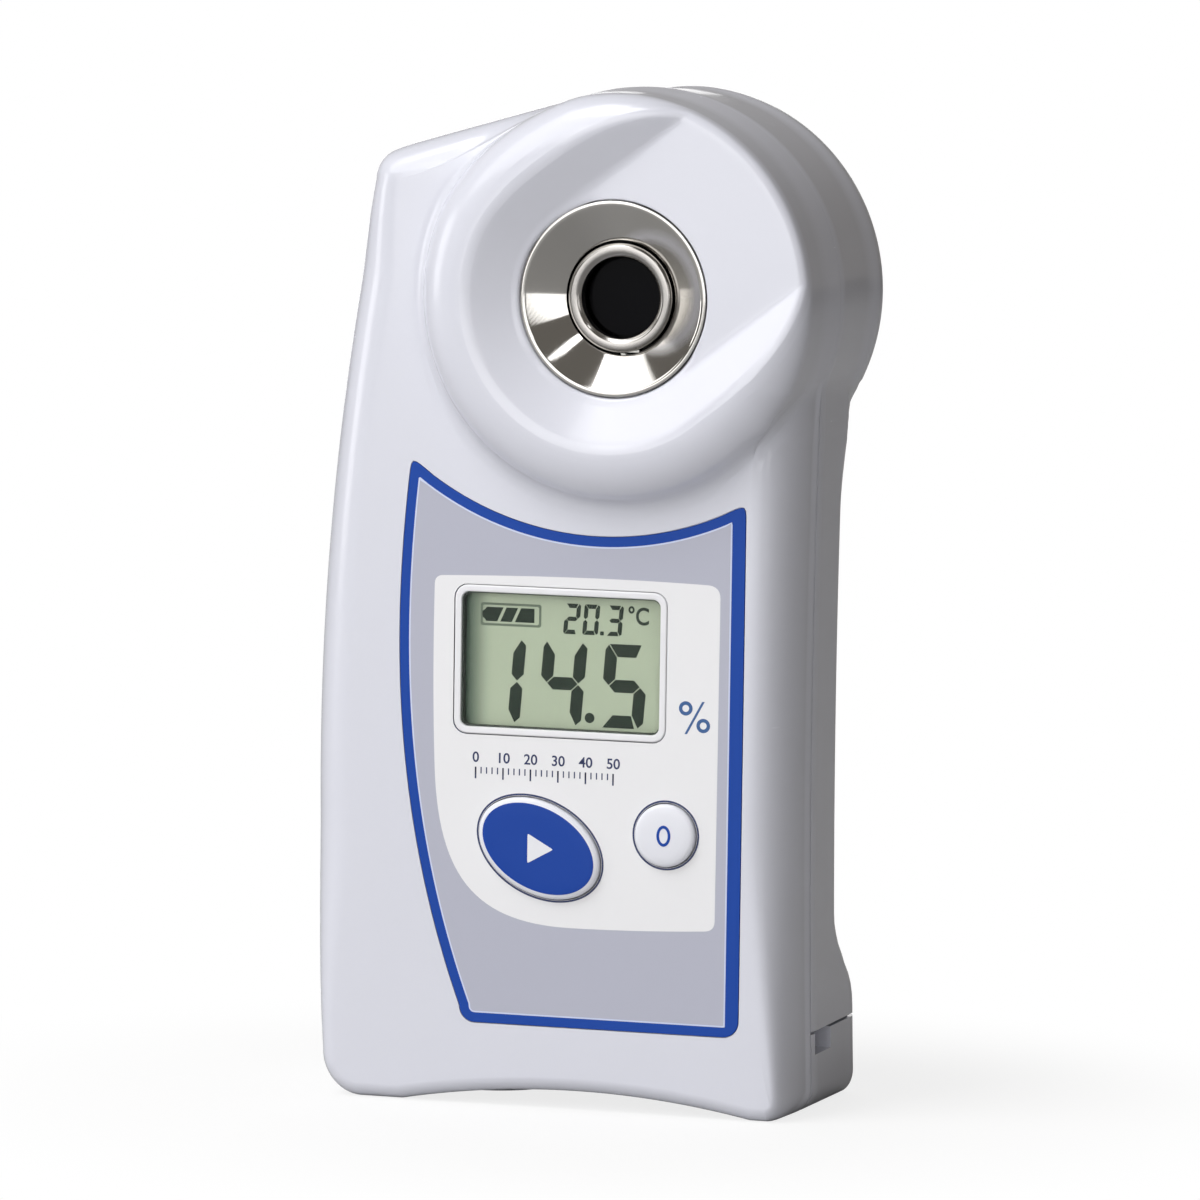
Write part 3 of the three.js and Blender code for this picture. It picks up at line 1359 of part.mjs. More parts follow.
// Lock knob with its cam and the screw that holds the cam
function makeLock() {
  const [x, y] = knobCentre;
  const centred = ([length, width], z0, z1) => block(
    x - length / 2, x + length / 2, y - width / 2, y + width / 2, z0, z1,
  );
  const threadRadius = screwRadius - 2 * seat;
  const headRim = screwHeadRadius + gap;
  const biteEnd = shaftTop - screwBite;
  const overShaft = shaftTop + cutOverrun;
  const knob = cut(
    joined(
      rodAlongZ(x, y, knobRadius, 0, knobThickness, fineSides),
      rodAlongZ(x, y, shaftRadius, knobThickness - seat, shaftTop, smallSides),
    ),
    centred([coinSlotLength, coinSlotWidth], -cutOverrun, coinSlotDepth),
    rodAlongZ(x, y, threadRadius + gap, biteEnd + gap, overShaft, coarseSides),
  );
  add('lock_knob', knob, casePlastic);
  const camTop = shaftTop - seat;
  const camBottom = camTop - camThickness;
  add('lock_cam', cut(
    centred([camLength, camWidth], camBottom, camTop),
    rodAlongZ(x, y, shaftRadius + gap / 2, camBottom - cutOverrun, overShaft, smallSides),
  ), springSteel);
  const headSeat = shaftTop + seat;
  const headTop = shaftTop + screwHeadHeight;
  add('lock_screw', turnedAboutZ([
    [0, biteEnd + 2 * gap], [threadRadius, biteEnd + screwRadius],
    [threadRadius, headSeat], [headRim, headSeat],
    [headRim, shaftTop + screwHeadHeight / 2], [screwRadius, headTop], [0, headTop],
  ], x, y, slimSides), springSteel);
}

// Seal in the seam of the case
function makeCaseGasket() {
  const outside = outlineInset(gasketInset);
  const inside = outlineInset(gasketInset + gasketWidth);
  const gasket = cut(
    plateAlongY(outside, frontSeamY - gasketDepth + seat, rearSeamY - seat),
    plateAlongY(inside, frontSeamY - cutOverrun, rearSeamY + cutOverrun),
  );
  add('case_gasket', gasket, greyRubber);
}

function makeRearPlate() {
  const plateFrontY = waistY - rearPlateThickness + seat;
  const plateEdge = rectanglePoints(rearPlateCentre, rearPlateSize);
  add('rear_plate', plateAlongY(plateEdge, plateFrontY, waistY), overlayPrint);
}

const backOuter = ringSolid(backRings(0, rearSeamY));
const backHollow = ringSolid(backRings(backWall, seamY - cutOverrun));
makeFrontCase();
makeRearCase();
makeBatteryCap();
makeCaseGasket();
makeCaseScrews();
makeRearPlate();
makeStage();
makeDisplay();
makeKeys();
makeBoard();
makeOptics();
makeRibbon();
makePower();
makeLock();

export default instrument;
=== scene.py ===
# %% [markdown]
# # A pocket digital refractometer
# The instrument is a hand-held plastic case with a round head. A drop of a sample goes
# into a polished steel cone in the head, a prism at its foot reads how strongly the drop
# bends light, and a small display shows the result as a number.
#
# The CAD model is loaded first as a fixed frame. Each piece made here sits where the CAD
# solid sits, in metres, and takes its place, so that looks are added and sizes stay.

import math

import bmesh
import bpy
import numpy as np
from mathutils import Matrix, Vector


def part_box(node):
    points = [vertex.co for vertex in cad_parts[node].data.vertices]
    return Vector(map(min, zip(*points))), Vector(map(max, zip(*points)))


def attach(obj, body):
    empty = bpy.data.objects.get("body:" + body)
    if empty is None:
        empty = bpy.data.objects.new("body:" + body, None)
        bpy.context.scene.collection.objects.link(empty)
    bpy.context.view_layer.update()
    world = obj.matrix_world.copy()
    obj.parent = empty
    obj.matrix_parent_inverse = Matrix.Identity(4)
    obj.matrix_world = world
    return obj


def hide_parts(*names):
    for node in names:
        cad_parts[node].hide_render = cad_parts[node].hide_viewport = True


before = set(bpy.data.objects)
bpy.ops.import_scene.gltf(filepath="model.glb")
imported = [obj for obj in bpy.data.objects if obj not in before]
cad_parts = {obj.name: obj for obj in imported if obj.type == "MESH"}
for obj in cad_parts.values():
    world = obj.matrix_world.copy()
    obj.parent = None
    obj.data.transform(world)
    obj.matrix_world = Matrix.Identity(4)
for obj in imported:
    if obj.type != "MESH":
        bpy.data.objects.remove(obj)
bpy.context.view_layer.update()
scene = bpy.context.scene
scene.view_settings.view_transform = "Standard"


def new_object(name, data):
    made = bpy.data.objects.new(name, data)
    scene.collection.objects.link(made)
    return made


# %% [markdown]
# ## The camera
# A long lens far away keeps the case's edges nearly parallel, as in a product picture.
# The camera stands to the right of the front, a little above the middle of the
# instrument, and is rolled by less than a degree.

# %% Place the camera
MM = 0.001
FOCAL_PX, FRAME_PX, PX_PER_MM = 9524.0, 1200.0, 9.33
SHIFT_PX, SENSOR_MM = (-2.84, -7.45), 36
YAW, ELEVATION, ROLL = (math.radians(a) for a in (19.05, 5.37, 0.82))
TARGET = Vector((1.3, 0, 54.5))
right = Vector((math.cos(YAW), math.sin(YAW), 0))
forward = Vector((-math.sin(YAW), math.cos(YAW), 0)) * math.cos(ELEVATION) - Vector((0, 0, math.sin(ELEVATION)))
turn = Matrix((right, right.cross(forward), -forward)).transposed() @ Matrix.Rotation(ROLL, 3, "Z")
camera_data = bpy.data.cameras.new("camera")
camera_data.sensor_width = SENSOR_MM
camera_data.lens = SENSOR_MM * FOCAL_PX / FRAME_PX
camera_data.clip_start, camera_data.clip_end = 0.05, 20
camera_data.shift_x, camera_data.shift_y = (shift / FRAME_PX for shift in SHIFT_PX)
camera = new_object("camera", camera_data)
camera.matrix_world = Matrix.Translation((TARGET - forward * FOCAL_PX / PX_PER_MM) * MM) @ turn.to_4x4()
scene.camera = camera
print("camera at", [round(v, 3) for v in camera.matrix_world.translation])

# %% [markdown]
# ## Floor and light
# The instrument stands on a plain floor under soft lamps. A product picture has a white
# ground that keeps a soft shadow close to the object. The floor could be lit until it is
# white, but that would also flood the object from below. So the floor is a grey one for
# every ray but the camera's: the camera sees a white floor whose shading fades out with
# the distance from the object.

# %% Helpers for nodes
def feed(node, inputs):
    """Gives each input of a node its value, or the socket that feeds it."""
    for name, value in inputs.items():
        if isinstance(value, bpy.types.NodeSocket):
            node.id_data.links.new(value, node.inputs[name])
        else:
            node.inputs[name].default_value = value
    return node


def add_node(tree, kind, inputs=None, **settings):
    node = tree.nodes.new(kind)
    for name, value in settings.items():
        setattr(node, name, value)
    return feed(node, inputs or {})


def maths(tree, operation, a, b):
    return add_node(tree, "ShaderNodeMath", {0: a, 1: b}, operation=operation).outputs[0]


def colour_between(tree, share, first, second):
    """A mix of two colours, each of them a value or a socket."""
    ends = [c if isinstance(c, bpy.types.NodeSocket) else (*c, 1) for c in (first, second)]
    inputs = {"Factor": share, "A": ends[0], "B": ends[1]}
    return add_node(tree, "ShaderNodeMix", inputs, data_type="RGBA").outputs["Result"]


def tree_input(tree, name, kind, value):
    """A named input of a node group, with its first value."""
    socket = tree.interface.new_socket(name=name, in_out="INPUT", socket_type="NodeSocket" + kind)
    socket.default_value = value
    return socket.identifier


def object_place(tree):
    return add_node(tree, "ShaderNodeTexCoord").outputs["Object"]


def camera_share(tree, path):
    """One for what the camera sees, also through clear plastic, and else nothing."""
    return maths(tree, "MAXIMUM", path.outputs["Is Camera Ray"], path.outputs["Is Transmission Ray"])


def new_material(name):
    material = bpy.data.materials.new(name)
    material.use_nodes = True
    return material, material.node_tree, material.node_tree.nodes["Principled BSDF"]


# %% Floor
FLOOR_SIZE, FLOOR_DROP = 12, 0.00002
SHADOW_SHARE, FADE_START, FADE_END = 0.2, 0.035, 0.085
FLOOR_GREY, FLOOR_WHITE, WHITE = 0.42, 0.95, (1.0, 1.0, 1.0)
floor_material, tree, shader = new_material("studio_floor")
feed(shader, {"Base Color": (*[FLOOR_GREY] * 3, 1), "Roughness": 0.6, "Specular IOR Level": 0.2})
seen = camera_share(tree, add_node(tree, "ShaderNodeLightPath"))
white = add_node(tree, "ShaderNodeBsdfDiffuse", {"Color": (*[FLOOR_WHITE] * 3, 1)})
glow = add_node(tree, "ShaderNodeEmission", {"Color": (*WHITE, 1)})
distance = add_node(tree, "ShaderNodeVectorMath", {0: object_place(tree)}, operation="LENGTH")
fade = add_node(tree, "ShaderNodeMapRange", {
    "Value": distance.outputs["Value"], "From Min": FADE_START, "From Max": FADE_END,
    "To Min": 1 - SHADOW_SHARE, "To Max": 1.0}, interpolation_type="SMOOTHSTEP")
ground = add_node(tree, "ShaderNodeMixShader", {0: fade.outputs[0], 1: white.outputs[0], 2: glow.outputs[0]})
blend = add_node(tree, "ShaderNodeMixShader", {0: seen, 1: shader.outputs[0], 2: ground.outputs[0]})
feed(tree.nodes["Material Output"], {"Surface": blend.outputs[0]})
bpy.ops.mesh.primitive_plane_add(size=FLOOR_SIZE, location=(0, 0, -FLOOR_DROP))
floor = bpy.context.object
floor.name = "floor"
floor.data.materials.append(floor_material)
print("floor", FLOOR_SIZE, "m wide")

# %% World and lamps
WORLD_LIGHT, WORLD_SHINE = 0.12, 0.2
WORLD_TINT = (1.0, 0.94, 0.86)
LAMP_AIM = Vector((0, 0, 0.06))
LAMPS = [
    ("key_lamp", (-0.62, -0.76, 0.90), 1.0, 1.0, 7.6),
    ("front_lamp", (-0.15, -1.3, 0.35), 0.9, 0.9, 6.0),
    ("left_lamp", (-1.1, -0.42, 0.12), 0.35, 0.5, 1.6),
    ("top_lamp", (-0.3, -0.4, 0.95), 0.45, 0.45, 3.4),
    ("cone_lamp", (0.45, -0.58, 0.75), 0.1, 0.1, 0.2),
    ("edge_lamp", (0.72, -0.62, 0.12), 0.10, 0.5, 0.4),
    ("fill_lamp", (0.4, -1.0, 0.12), 0.15, 0.6, 0.8),
    ("backdrop_lamp", (-0.42, 1.25, 0.1), 0.8, 0.25, 0.9),
    ("back_lamp", (-0.5, 1.1, 0.6), 0.8, 0.8, 4.5),
]
world = bpy.data.worlds.new("studio_world")
scene.world = world
world.use_nodes = True
tree = world.node_tree
path = add_node(tree, "ShaderNodeLightPath")
seen = camera_share(tree, path)
shine = maths(tree, "MULTIPLY", path.outputs["Is Glossy Ray"], WORLD_SHINE - WORLD_LIGHT)
level = maths(tree, "MAXIMUM", seen, maths(tree, "ADD", shine, WORLD_LIGHT))
feed(tree.nodes["Background"], {"Strength": level, "Color": colour_between(tree, seen, WORLD_TINT, WHITE)})
for name, position, width, height, power in LAMPS:
    data = bpy.data.lights.new(name, "AREA")
    data.shape, data.size, data.size_y, data.energy = "RECTANGLE", width, height, power
    lamp = new_object(name, data)
    lamp.location = position
    lamp.rotation_euler = (LAMP_AIM - Vector(position)).to_track_quat("-Z", "Y").to_euler()
    lamp.visible_glossy = name != "back_lamp"
print("lamps", [name for name, *_ in LAMPS])

# %% [markdown]
# ## Helpers for meshes
# Every piece is a mesh with its place in its vertices. Sizes are written in millimetres,
# and one helper turns them into metres. Booleans use the exact solver, and hard edges
# are marked by angle, so that rounded plastic stays smooth and cut edges stay crisp.

# %% Make a mesh, combine meshes and put a piece on its body
def mesh_object(name, points, faces):
    mesh = bpy.data.meshes.new(name)
    mesh.from_pydata([tuple(c * MM for c in p) for p in points], [], faces)
    built = bmesh.new()
    built.from_mesh(mesh)
    bmesh.ops.remove_doubles(built, verts=built.verts, dist=1e-7)
    bmesh.ops.dissolve_degenerate(built, edges=built.edges, dist=1e-8)
    bmesh.ops.recalc_face_normals(built, faces=built.faces)
    built.to_mesh(mesh)
    built.free()
    return new_object(name, mesh)


def plain_mesh(piece):
    """The piece with its modifiers made final."""
    graph = bpy.context.evaluated_depsgraph_get()
    mesh = bpy.data.meshes.new_from_object(piece.evaluated_get(graph))
    piece.modifiers.clear()
    old = piece.data
    piece.data = mesh
    bpy.data.meshes.remove(old)
    return piece


def combine(piece, others, operation="DIFFERENCE"):
    for other in others:
        modifier = piece.modifiers.new("cut", "BOOLEAN")
        modifier.operation, modifier.solver, modifier.object = operation, "EXACT", other
        plain_mesh(piece)
        bpy.data.objects.remove(other)
    return piece


def settle(piece, body, material, stands_for=(), angle=30, weighted=True):
    """Shades a piece smooth up to an angle, gives it its finish and puts it on its body."""
    piece.data.polygons.foreach_set("use_smooth", [True] * len(piece.data.polygons))
    piece.data.set_sharp_from_angle(angle=math.radians(angle))
    if weighted:
        modifier = piece.modifiers.new("normals", "WEIGHTED_NORMAL")
        modifier.keep_sharp = True
        plain_mesh(piece)
    piece.data.materials.clear()
    piece.data.materials.append(material)
    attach(piece, body)
    if stands_for:
        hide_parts(*stands_for)
    print(piece.name, "has", len(piece.data.polygons), "faces")
    return piece


def volume(piece):
    built = bmesh.new()
    built.from_mesh(piece.data)
    total = built.calc_volume(signed=True)
    built.free()
    return round(total * 1e9, 1)


# %% Values and outlines
def mix(a, b, share):
    return a + (b - a) * share


def between(a, b, steps):
    """Values from a to b in even steps, with both ends."""
    return [mix(a, b, i / steps) for i in range(steps + 1)]


def ease(share):
    held = min(1.0, max(0.0, share))
    return held * held * (3 - 2 * held)


def last_true(test, low, high, rounds):
    """The place between low and high where a test stops being true."""
    for _ in range(rounds):
        middle = (low + high) / 2
        low, high = (middle, high) if test(middle) else (low, middle)
    return low


def bezier(points, steps):
    a, b, c, d = (np.array(p, float) for p in points)
    t = np.linspace(0, 1, steps + 1)[:, None]
    curve = a * (1 - t) ** 3 + 3 * b * t * (1 - t) ** 2 + 3 * c * t ** 2 * (1 - t) + d * t ** 3
    return [tuple(p) for p in curve]


def arc(x, z, radius, start, end, steps):
    turns = (math.radians(turn) for turn in between(start, end, steps))
    return [(x + radius * math.cos(a), z + radius * math.sin(a)) for a in turns]


def round_line(x, z, radius, sides):
    turns = (2 * math.pi * i / sides for i in range(sides))
    return [(x + radius * math.cos(a), z + radius * math.sin(a)) for a in turns]


def ellipse(x, z, half_x, half_z, tilt=0.0, sides=96):
    cos, sin = math.cos(tilt), math.sin(tilt)
    return [(x + half_x * a * cos - half_z * b * sin, z + half_x * a * sin + half_z * b * cos)
            for a, b in round_line(0, 0, 1, sides)]


def rounded_box(x, z, width, height, radius, steps=5):
    points = []
    for way_x, way_z, start in ((1, 1, 0), (-1, 1, 90), (-1, -1, 180), (1, -1, 270)):
        centre = x + way_x * (width / 2 - radius), z + way_z * (height / 2 - radius)
        points += arc(*centre, radius, start, start + 90, steps)
    return points


SHARPEST, CLEAR_SHARE, NEAR_SHARE = 0.6, 0.985, 0.05


def grow(outline, amount):
    """An outline moved outwards by an amount along its corners' normals."""
    if not amount:
        return list(outline)
    points = np.array(outline, float)
    before, after = np.roll(points, 1, 0), np.roll(points, -1, 0)
    first, second = points - before, after - points
    first /= np.linalg.norm(first, axis=1)[:, None]
    second /= np.linalg.norm(second, axis=1)[:, None]
    area = np.sum(points[:, 0] * after[:, 1] - after[:, 0] * points[:, 1])
    side = 1 if area > 0 else -1
    normal = side * np.stack([first[:, 1] + second[:, 1], -first[:, 0] - second[:, 0]], 1)
    length = np.linalg.norm(normal, axis=1)
    spread = 2 * amount / np.maximum(length, SHARPEST) ** 2
    return [tuple(p) for p in points + normal * spread[:, None]]


def shrink(outline, amount):
    """A smaller outline. Points that a sharp corner folds over are left out."""
    points = np.array(outline, float)
    ahead = np.roll(points, -1, 0) - points
    length = np.sum(ahead ** 2, 1)
    kept = []
    for place in np.array(grow(outline, -amount)):
        along = np.clip(np.sum((place - points) * ahead, 1) / length, 0, 1)[:, None]
        clear = np.min(np.linalg.norm(place - points - ahead * along, axis=1)) > CLEAR_SHARE * amount
        if clear and (not kept or math.dist(place, kept[-1]) > NEAR_SHARE * amount):
            kept.append(tuple(place))
    return kept


# %% Skins, plates and turned pieces
def rings_object(name, rings, ends="fan", loop=False):
    """A skin through rings of points. It is looped, or its ends are flat faces or fans."""
    count, last = len(rings[0]), len(rings) - 1
    points = [p for ring in rings for p in ring]
    pairs = [(k, k + 1) for k in range(last)] + ([(last, 0)] if loop else [])
    faces = []
    for low, high in pairs:
        for i in range(count):
            j = (i + 1) % count
            faces.append((low * count + i, high * count + i, high * count + j, low * count + j))
    for ring in () if loop else (0, last):
        rim = [ring * count + i for i in range(count)]
        if ends == "flat":
            faces.append(tuple(rim))
        else:
            points.append(tuple(np.mean(np.array(rings[ring]), 0)))
            faces += [(rim[i], rim[(i + 1) % count], len(points) - 1) for i in range(count)]
    return mesh_object(name, points, faces)


def rings_of(columns):
    """Columns of points read across, as rings."""
    return [[column[k] for column in columns] for k in range(len(columns[0]))]


def stepped(name, shape, depths):
    """A piece along Y whose outline changes with the depth. Each depth is (amount, y)."""
    return rings_object(name, [[(x, y, z) for x, z in shape(amount)] for amount, y in depths], ends="flat")


def plate(name, outline, front, back, bevel=0.0, steps=3):
    """A plate along Y, its outline in the XZ plane, with its front edge rounded."""
    turns = [i / steps * math.pi / 2 for i in range(steps + 1)] if bevel else [math.pi / 2]
    depths = [(bevel * (math.sin(a) - 1), front + bevel * (1 - math.cos(a))) for a in turns] + [(0, back)]
    return stepped(name, lambda amount: grow(outline, amount), depths)


def hoop(name, outer, inner, front, back):
    """A plate with a hole through it."""
    return combine(plate(name, outer, front, back), [plate("inside", inner, front - 1, back + 1)])


def turned(name, profile, x, z, sides=96, loop=False):
    """A piece turned about a line along Y. The profile is (radius, y)."""
    rings = [[(px, y, pz) for px, pz in round_line(x, z, radius, sides)] for radius, y in profile]
    return rings_object(name, rings, ends="flat", loop=loop)


def turned_up(name, profile, x, y, sides=72):
    """A piece turned about a line along Z. The profile is (radius, z)."""
    rings = [[(px, py, z) for px, py in round_line(x, y, radius, sides)] for radius, z in profile]
    return rings_object(name, rings, ends="flat")


def hole_up(radius, top, x, y, sides=72, bottom=-1):
    """A round cutter along Z."""
    return turned_up("hole", [(radius, bottom), (radius, top)], x, y, sides)


def box_object(name, low, high):
    corners = [(x, y, z) for x in (low[0], high[0]) for y in (low[1], high[1]) for z in (low[2], high[2])]
    faces = [(0, 1, 3, 2), (4, 6, 7, 5), (0, 4, 5, 1), (2, 3, 7, 6), (0, 2, 6, 4), (1, 5, 7, 3)]
    return mesh_object(name, corners, faces)


def low_high(node):
    low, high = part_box(node)
    return [c / MM for c in low], [c / MM for c in high]

# %% [markdown]
# ## Finishes
# Moulded plastic is never perfectly even. A node group adds what most of the plastics
# here share: a very fine texture from the mould, and slow waves in the surface that
# bend its reflections a little. A second group gives fine marks from wiping and
# handling, which raise the roughness in thin streaks. Each material places the groups
# with its own values.

# %% Groups for moulded plastic and for handling marks
def start_group(name, inputs, outputs):
    tree = bpy.data.node_groups.new(name, "ShaderNodeTree")
    for label, value in inputs.items():
        tree_input(tree, label, "Float", value)
    for label in outputs:
        tree.interface.new_socket(name=label, in_out="OUTPUT", socket_type="NodeSocketFloat")
    return tree, tree.nodes.new("NodeGroupInput"), tree.nodes.new("NodeGroupOutput")


def noise(tree, vector, scale, detail, roughness=0.5):
    inputs = {"Vector": vector, "Scale": scale, "Detail": detail, "Roughness": roughness}
    return add_node(tree, "ShaderNodeTexNoise", inputs).outputs["Fac"]


GRAIN_SCALE, WAVE_SCALE, GRAIN_SHARE, WAVE_TONE = 2600.0, 38.0, 0.35, 0.7
moulded, source, sink = start_group(
    "moulded_plastic", {"Grain scale": GRAIN_SCALE, "Wave scale": WAVE_SCALE, "Grain share": GRAIN_SHARE},
    ["Height", "Tone"])
spot = object_place(moulded)
grain, wave = (noise(moulded, spot, source.outputs[label], 2.0) for label in ("Grain scale", "Wave scale"))
height = maths(moulded, "ADD", maths(moulded, "MULTIPLY", grain, source.outputs["Grain share"]), wave)
slow, fine = maths(moulded, "MULTIPLY", wave, WAVE_TONE), maths(moulded, "MULTIPLY", grain, 1 - WAVE_TONE)
feed(sink, {"Height": height, "Tone": maths(moulded, "ADD", slow, fine)})

STREAK_TURN, STREAK_STRETCH = (0.3, 0.6, 0.9), (1.0, 1.0, 6.0)
PATCH_SHARE, STREAK_SHARE = 0.4, 0.72
STREAKS_FROM, STREAKS_TO = 0.56, 0.72
marks, source, sink = start_group("handling_marks", {"Scale": 90.0, "Stretch": 7.0, "Amount": 0.5}, ["Mask"])
spot = object_place(marks)
slanted = add_node(marks, "ShaderNodeMapping", {
    "Vector": spot, "Rotation": STREAK_TURN, "Scale": STREAK_STRETCH})
streaks = noise(marks, slanted.outputs["Vector"], source.outputs["Scale"], 4.0, 0.7)
patches = maths(marks, "MULTIPLY", noise(marks, spot, source.outputs["Stretch"], 1.0), PATCH_SHARE)
level = maths(marks, "MULTIPLY", maths(marks, "ADD", streaks, patches), STREAK_SHARE)
thin = add_node(marks, "ShaderNodeMapRange", {"Value": level, "From Min": STREAKS_FROM, "From Max": STREAKS_TO})
feed(sink, {"Mask": maths(marks, "MULTIPLY", thin.outputs[0], source.outputs["Amount"])})
print("groups", moulded.name, marks.name)


# %% A finish made from the two groups
def moulded_skin(tree, grain_scale, wave_scale, grain_share):
    inputs = {"Grain scale": grain_scale, "Wave scale": wave_scale, "Grain share": grain_share}
    return add_node(tree, "ShaderNodeGroup", inputs, node_tree=moulded).outputs


def rubbed_roughness(tree, amount, low, high):
    """The roughness, raised from low to high where the surface was wiped."""
    mask = add_node(tree, "ShaderNodeGroup", {"Amount": amount}, node_tree=marks).outputs["Mask"]
    return add_node(tree, "ShaderNodeMapRange", {"Value": mask, "To Min": low, "To Max": high}).outputs[0]


def bump(tree, shader, height, depth_mm):
    node = add_node(tree, "ShaderNodeBump", {"Height": height, "Strength": 1.0, "Distance": depth_mm * MM})
    feed(shader, {"Normal": node.outputs["Normal"]})


PLASTIC_WEAR, STEEL_WEAR, COAT_ROUGHNESS = 0.16, 0.1, 0.06


def plastic(name, colour, roughness, coat=0.0, depth_mm=0.006, grain_scale=GRAIN_SCALE, wave_scale=WAVE_SCALE,
            grain_share=GRAIN_SHARE, tone=0.03, wear=0.5, specular=0.5, constants=None):
    material, tree, shader = new_material(name)
    skin = moulded_skin(tree, grain_scale, wave_scale, grain_share)
    darker, lighter = (tuple(min(1, c * (1 + way * tone)) for c in colour) for way in (-1, 1))
    feed(shader, {"Base Color": colour_between(tree, skin["Tone"], darker, lighter),
                  "Roughness": rubbed_roughness(tree, wear, roughness, roughness + PLASTIC_WEAR),
                  "Specular IOR Level": specular, **(constants or {})})
    if coat:
        feed(shader, {"Coat Weight": coat, "Coat Roughness": COAT_ROUGHNESS})
    bump(tree, shader, skin["Height"], depth_mm)
    return material


def metal(name, colour, roughness, metallic=1.0):
    return plastic(name, colour, roughness, depth_mm=0.004, wave_scale=120.0, wear=0.4, tone=0.04,
                   constants={"Metallic": metallic})


# %% [markdown]
# ### The plastics, metals and prints of this instrument
# The case is glossy white plastic with a faint lavender tint. The front label is a
# printed film with a matt varnish. Inside there are plain black mouldings, green
# boards and plated steel.

# %% Materials
PRINT = {"grain_scale": 4200.0, "grain_share": 0.8}
FINE_PRINT = {**PRINT, "depth_mm": 0.004}
KEY = {"grain_scale": 3000.0, "grain_share": 0.7}
INK = {"grain_scale": 5000.0, "specular": 0.2}
ROUGH = {"grain_share": 1.0, "depth_mm": 0.01}
GLASS = {"grain_share": 0.05, "depth_mm": 0.001, "wear": 0.1}
case_white = plastic("glossy_case_plastic", (0.715, 0.725, 0.80), 0.22, coat=0.35, depth_mm=0.012,
                     grain_share=0.05, tone=0.012)
label_grey = plastic("label_grey_print", (0.465, 0.475, 0.565), 0.38, tone=0.02, **FINE_PRINT)
label_white = plastic("label_white_print", (0.85, 0.85, 0.87), 0.38, tone=0.01, **FINE_PRINT)
label_blue = plastic("label_blue_print", (0.010, 0.062, 0.36), 0.40, tone=0.04, specular=0.2, **FINE_PRINT)
line_pale = plastic("label_pale_line", (0.62, 0.68, 0.86), 0.36, **FINE_PRINT)
sign_blue = plastic("label_sign_blue", (0.035, 0.11, 0.30), 0.36, **FINE_PRINT)
line_dark = plastic("dark_printed_line", (0.018, 0.030, 0.11), 0.36, grain_scale=4200.0, depth_mm=0.003)
plate_film = plastic("rear_plate_film", (0.60, 0.61, 0.66), 0.42, tone=0.02, **PRINT)
key_blue = plastic("start_key_blue", (0.010, 0.058, 0.35), 0.40, tone=0.05, specular=0.2, **KEY)
key_white = plastic("key_white_plastic", (0.80, 0.81, 0.87), 0.34, tone=0.012, **KEY)
print_white = plastic("key_white_print", (0.83, 0.84, 0.88), 0.4, grain_scale=3000.0)
bezel_white = plastic("display_bezel_plastic", (0.84, 0.84, 0.87), 0.32, coat=0.1, grain_scale=2200.0,
                      tone=0.01)
# The liner's near-black is painted shade for the display's recess.
recess_shade_dark = plastic("display_liner_painted_shade", (0.020, 0.028, 0.022), 0.5, grain_scale=2200.0, tone=0.1)
segment_ink = plastic("display_segment_ink", (0.010, 0.020, 0.012), 0.4, tone=0.1, **INK)
segment_faint = plastic("display_faint_ink", (0.13, 0.16, 0.12), 0.4, tone=0.05, **INK)
black_moulding = plastic("black_moulded_plastic", (0.014, 0.014, 0.016), 0.5, grain_scale=1500.0, tone=0.1,
                         **ROUGH)
grey_rubber = plastic("grey_silicone_rubber", (0.07, 0.073, 0.08), 0.75, grain_scale=1800.0, tone=0.12,
                      specular=0.3, **ROUGH)
board_green = plastic("green_solder_mask", (0.012, 0.10, 0.035), 0.35, grain_scale=900.0, wave_scale=400.0,
                      tone=0.25)
chip_black = plastic("chip_epoxy", (0.016, 0.016, 0.02), 0.55, grain_scale=3500.0, grain_share=1.0, tone=0.15)
ribbon_amber = plastic("amber_film", (0.43, 0.17, 0.03), 0.3, tone=0.12)
lamp_resin = plastic("lamp_resin", (0.80, 0.76, 0.58), 0.1, tone=0.04)
lens_glass = plastic("lens_glass", (0.95, 0.97, 0.97), 0.04, constants={"Transmission Weight": 1.0}, **GLASS)
prism_black = plastic("prism_glass_face", (0.003, 0.003, 0.004), 0.12, specular=0.04, **GLASS)
plated_steel = metal("plated_screw_steel", (0.52, 0.52, 0.50), 0.28)
gold_strip = metal("gold_plated_strip", (0.72, 0.47, 0.16), 0.25)
cell_foil = metal("cell_foil_jacket", (0.30, 0.32, 0.34), 0.35, metallic=0.6)

# %% Polished steel with turning marks
HEAD_X, HEAD_Z = 6.4, 86.9
WAVE_LENGTH = 0.314
RING_SHADE = 0.93
RING_DEPTH = 0.0006


def turned_steel(name, colour, roughness, pitch_mm):
    """Steel with fine rings round the head's centre, as a lathe leaves them."""
    material, tree, shader = new_material(name)
    centred = add_node(tree, "ShaderNodeMapping", {
        "Vector": object_place(tree), "Location": (-HEAD_X * MM, 0, -HEAD_Z * MM)})
    rings = add_node(tree, "ShaderNodeTexWave", {
        "Vector": centred.outputs["Vector"], "Scale": WAVE_LENGTH / (pitch_mm * MM), "Distortion": 0.6,
        "Detail": 2}, wave_type="RINGS", rings_direction="Y").outputs["Fac"]
    shaded = tuple(c * RING_SHADE for c in colour)
    feed(shader, {"Metallic": 1.0, "Base Color": colour_between(tree, rings, shaded, colour),
                  "Roughness": rubbed_roughness(tree, 0.5, roughness, roughness + STEEL_WEAR)})
    bump(tree, shader, rings, RING_DEPTH)
    return material


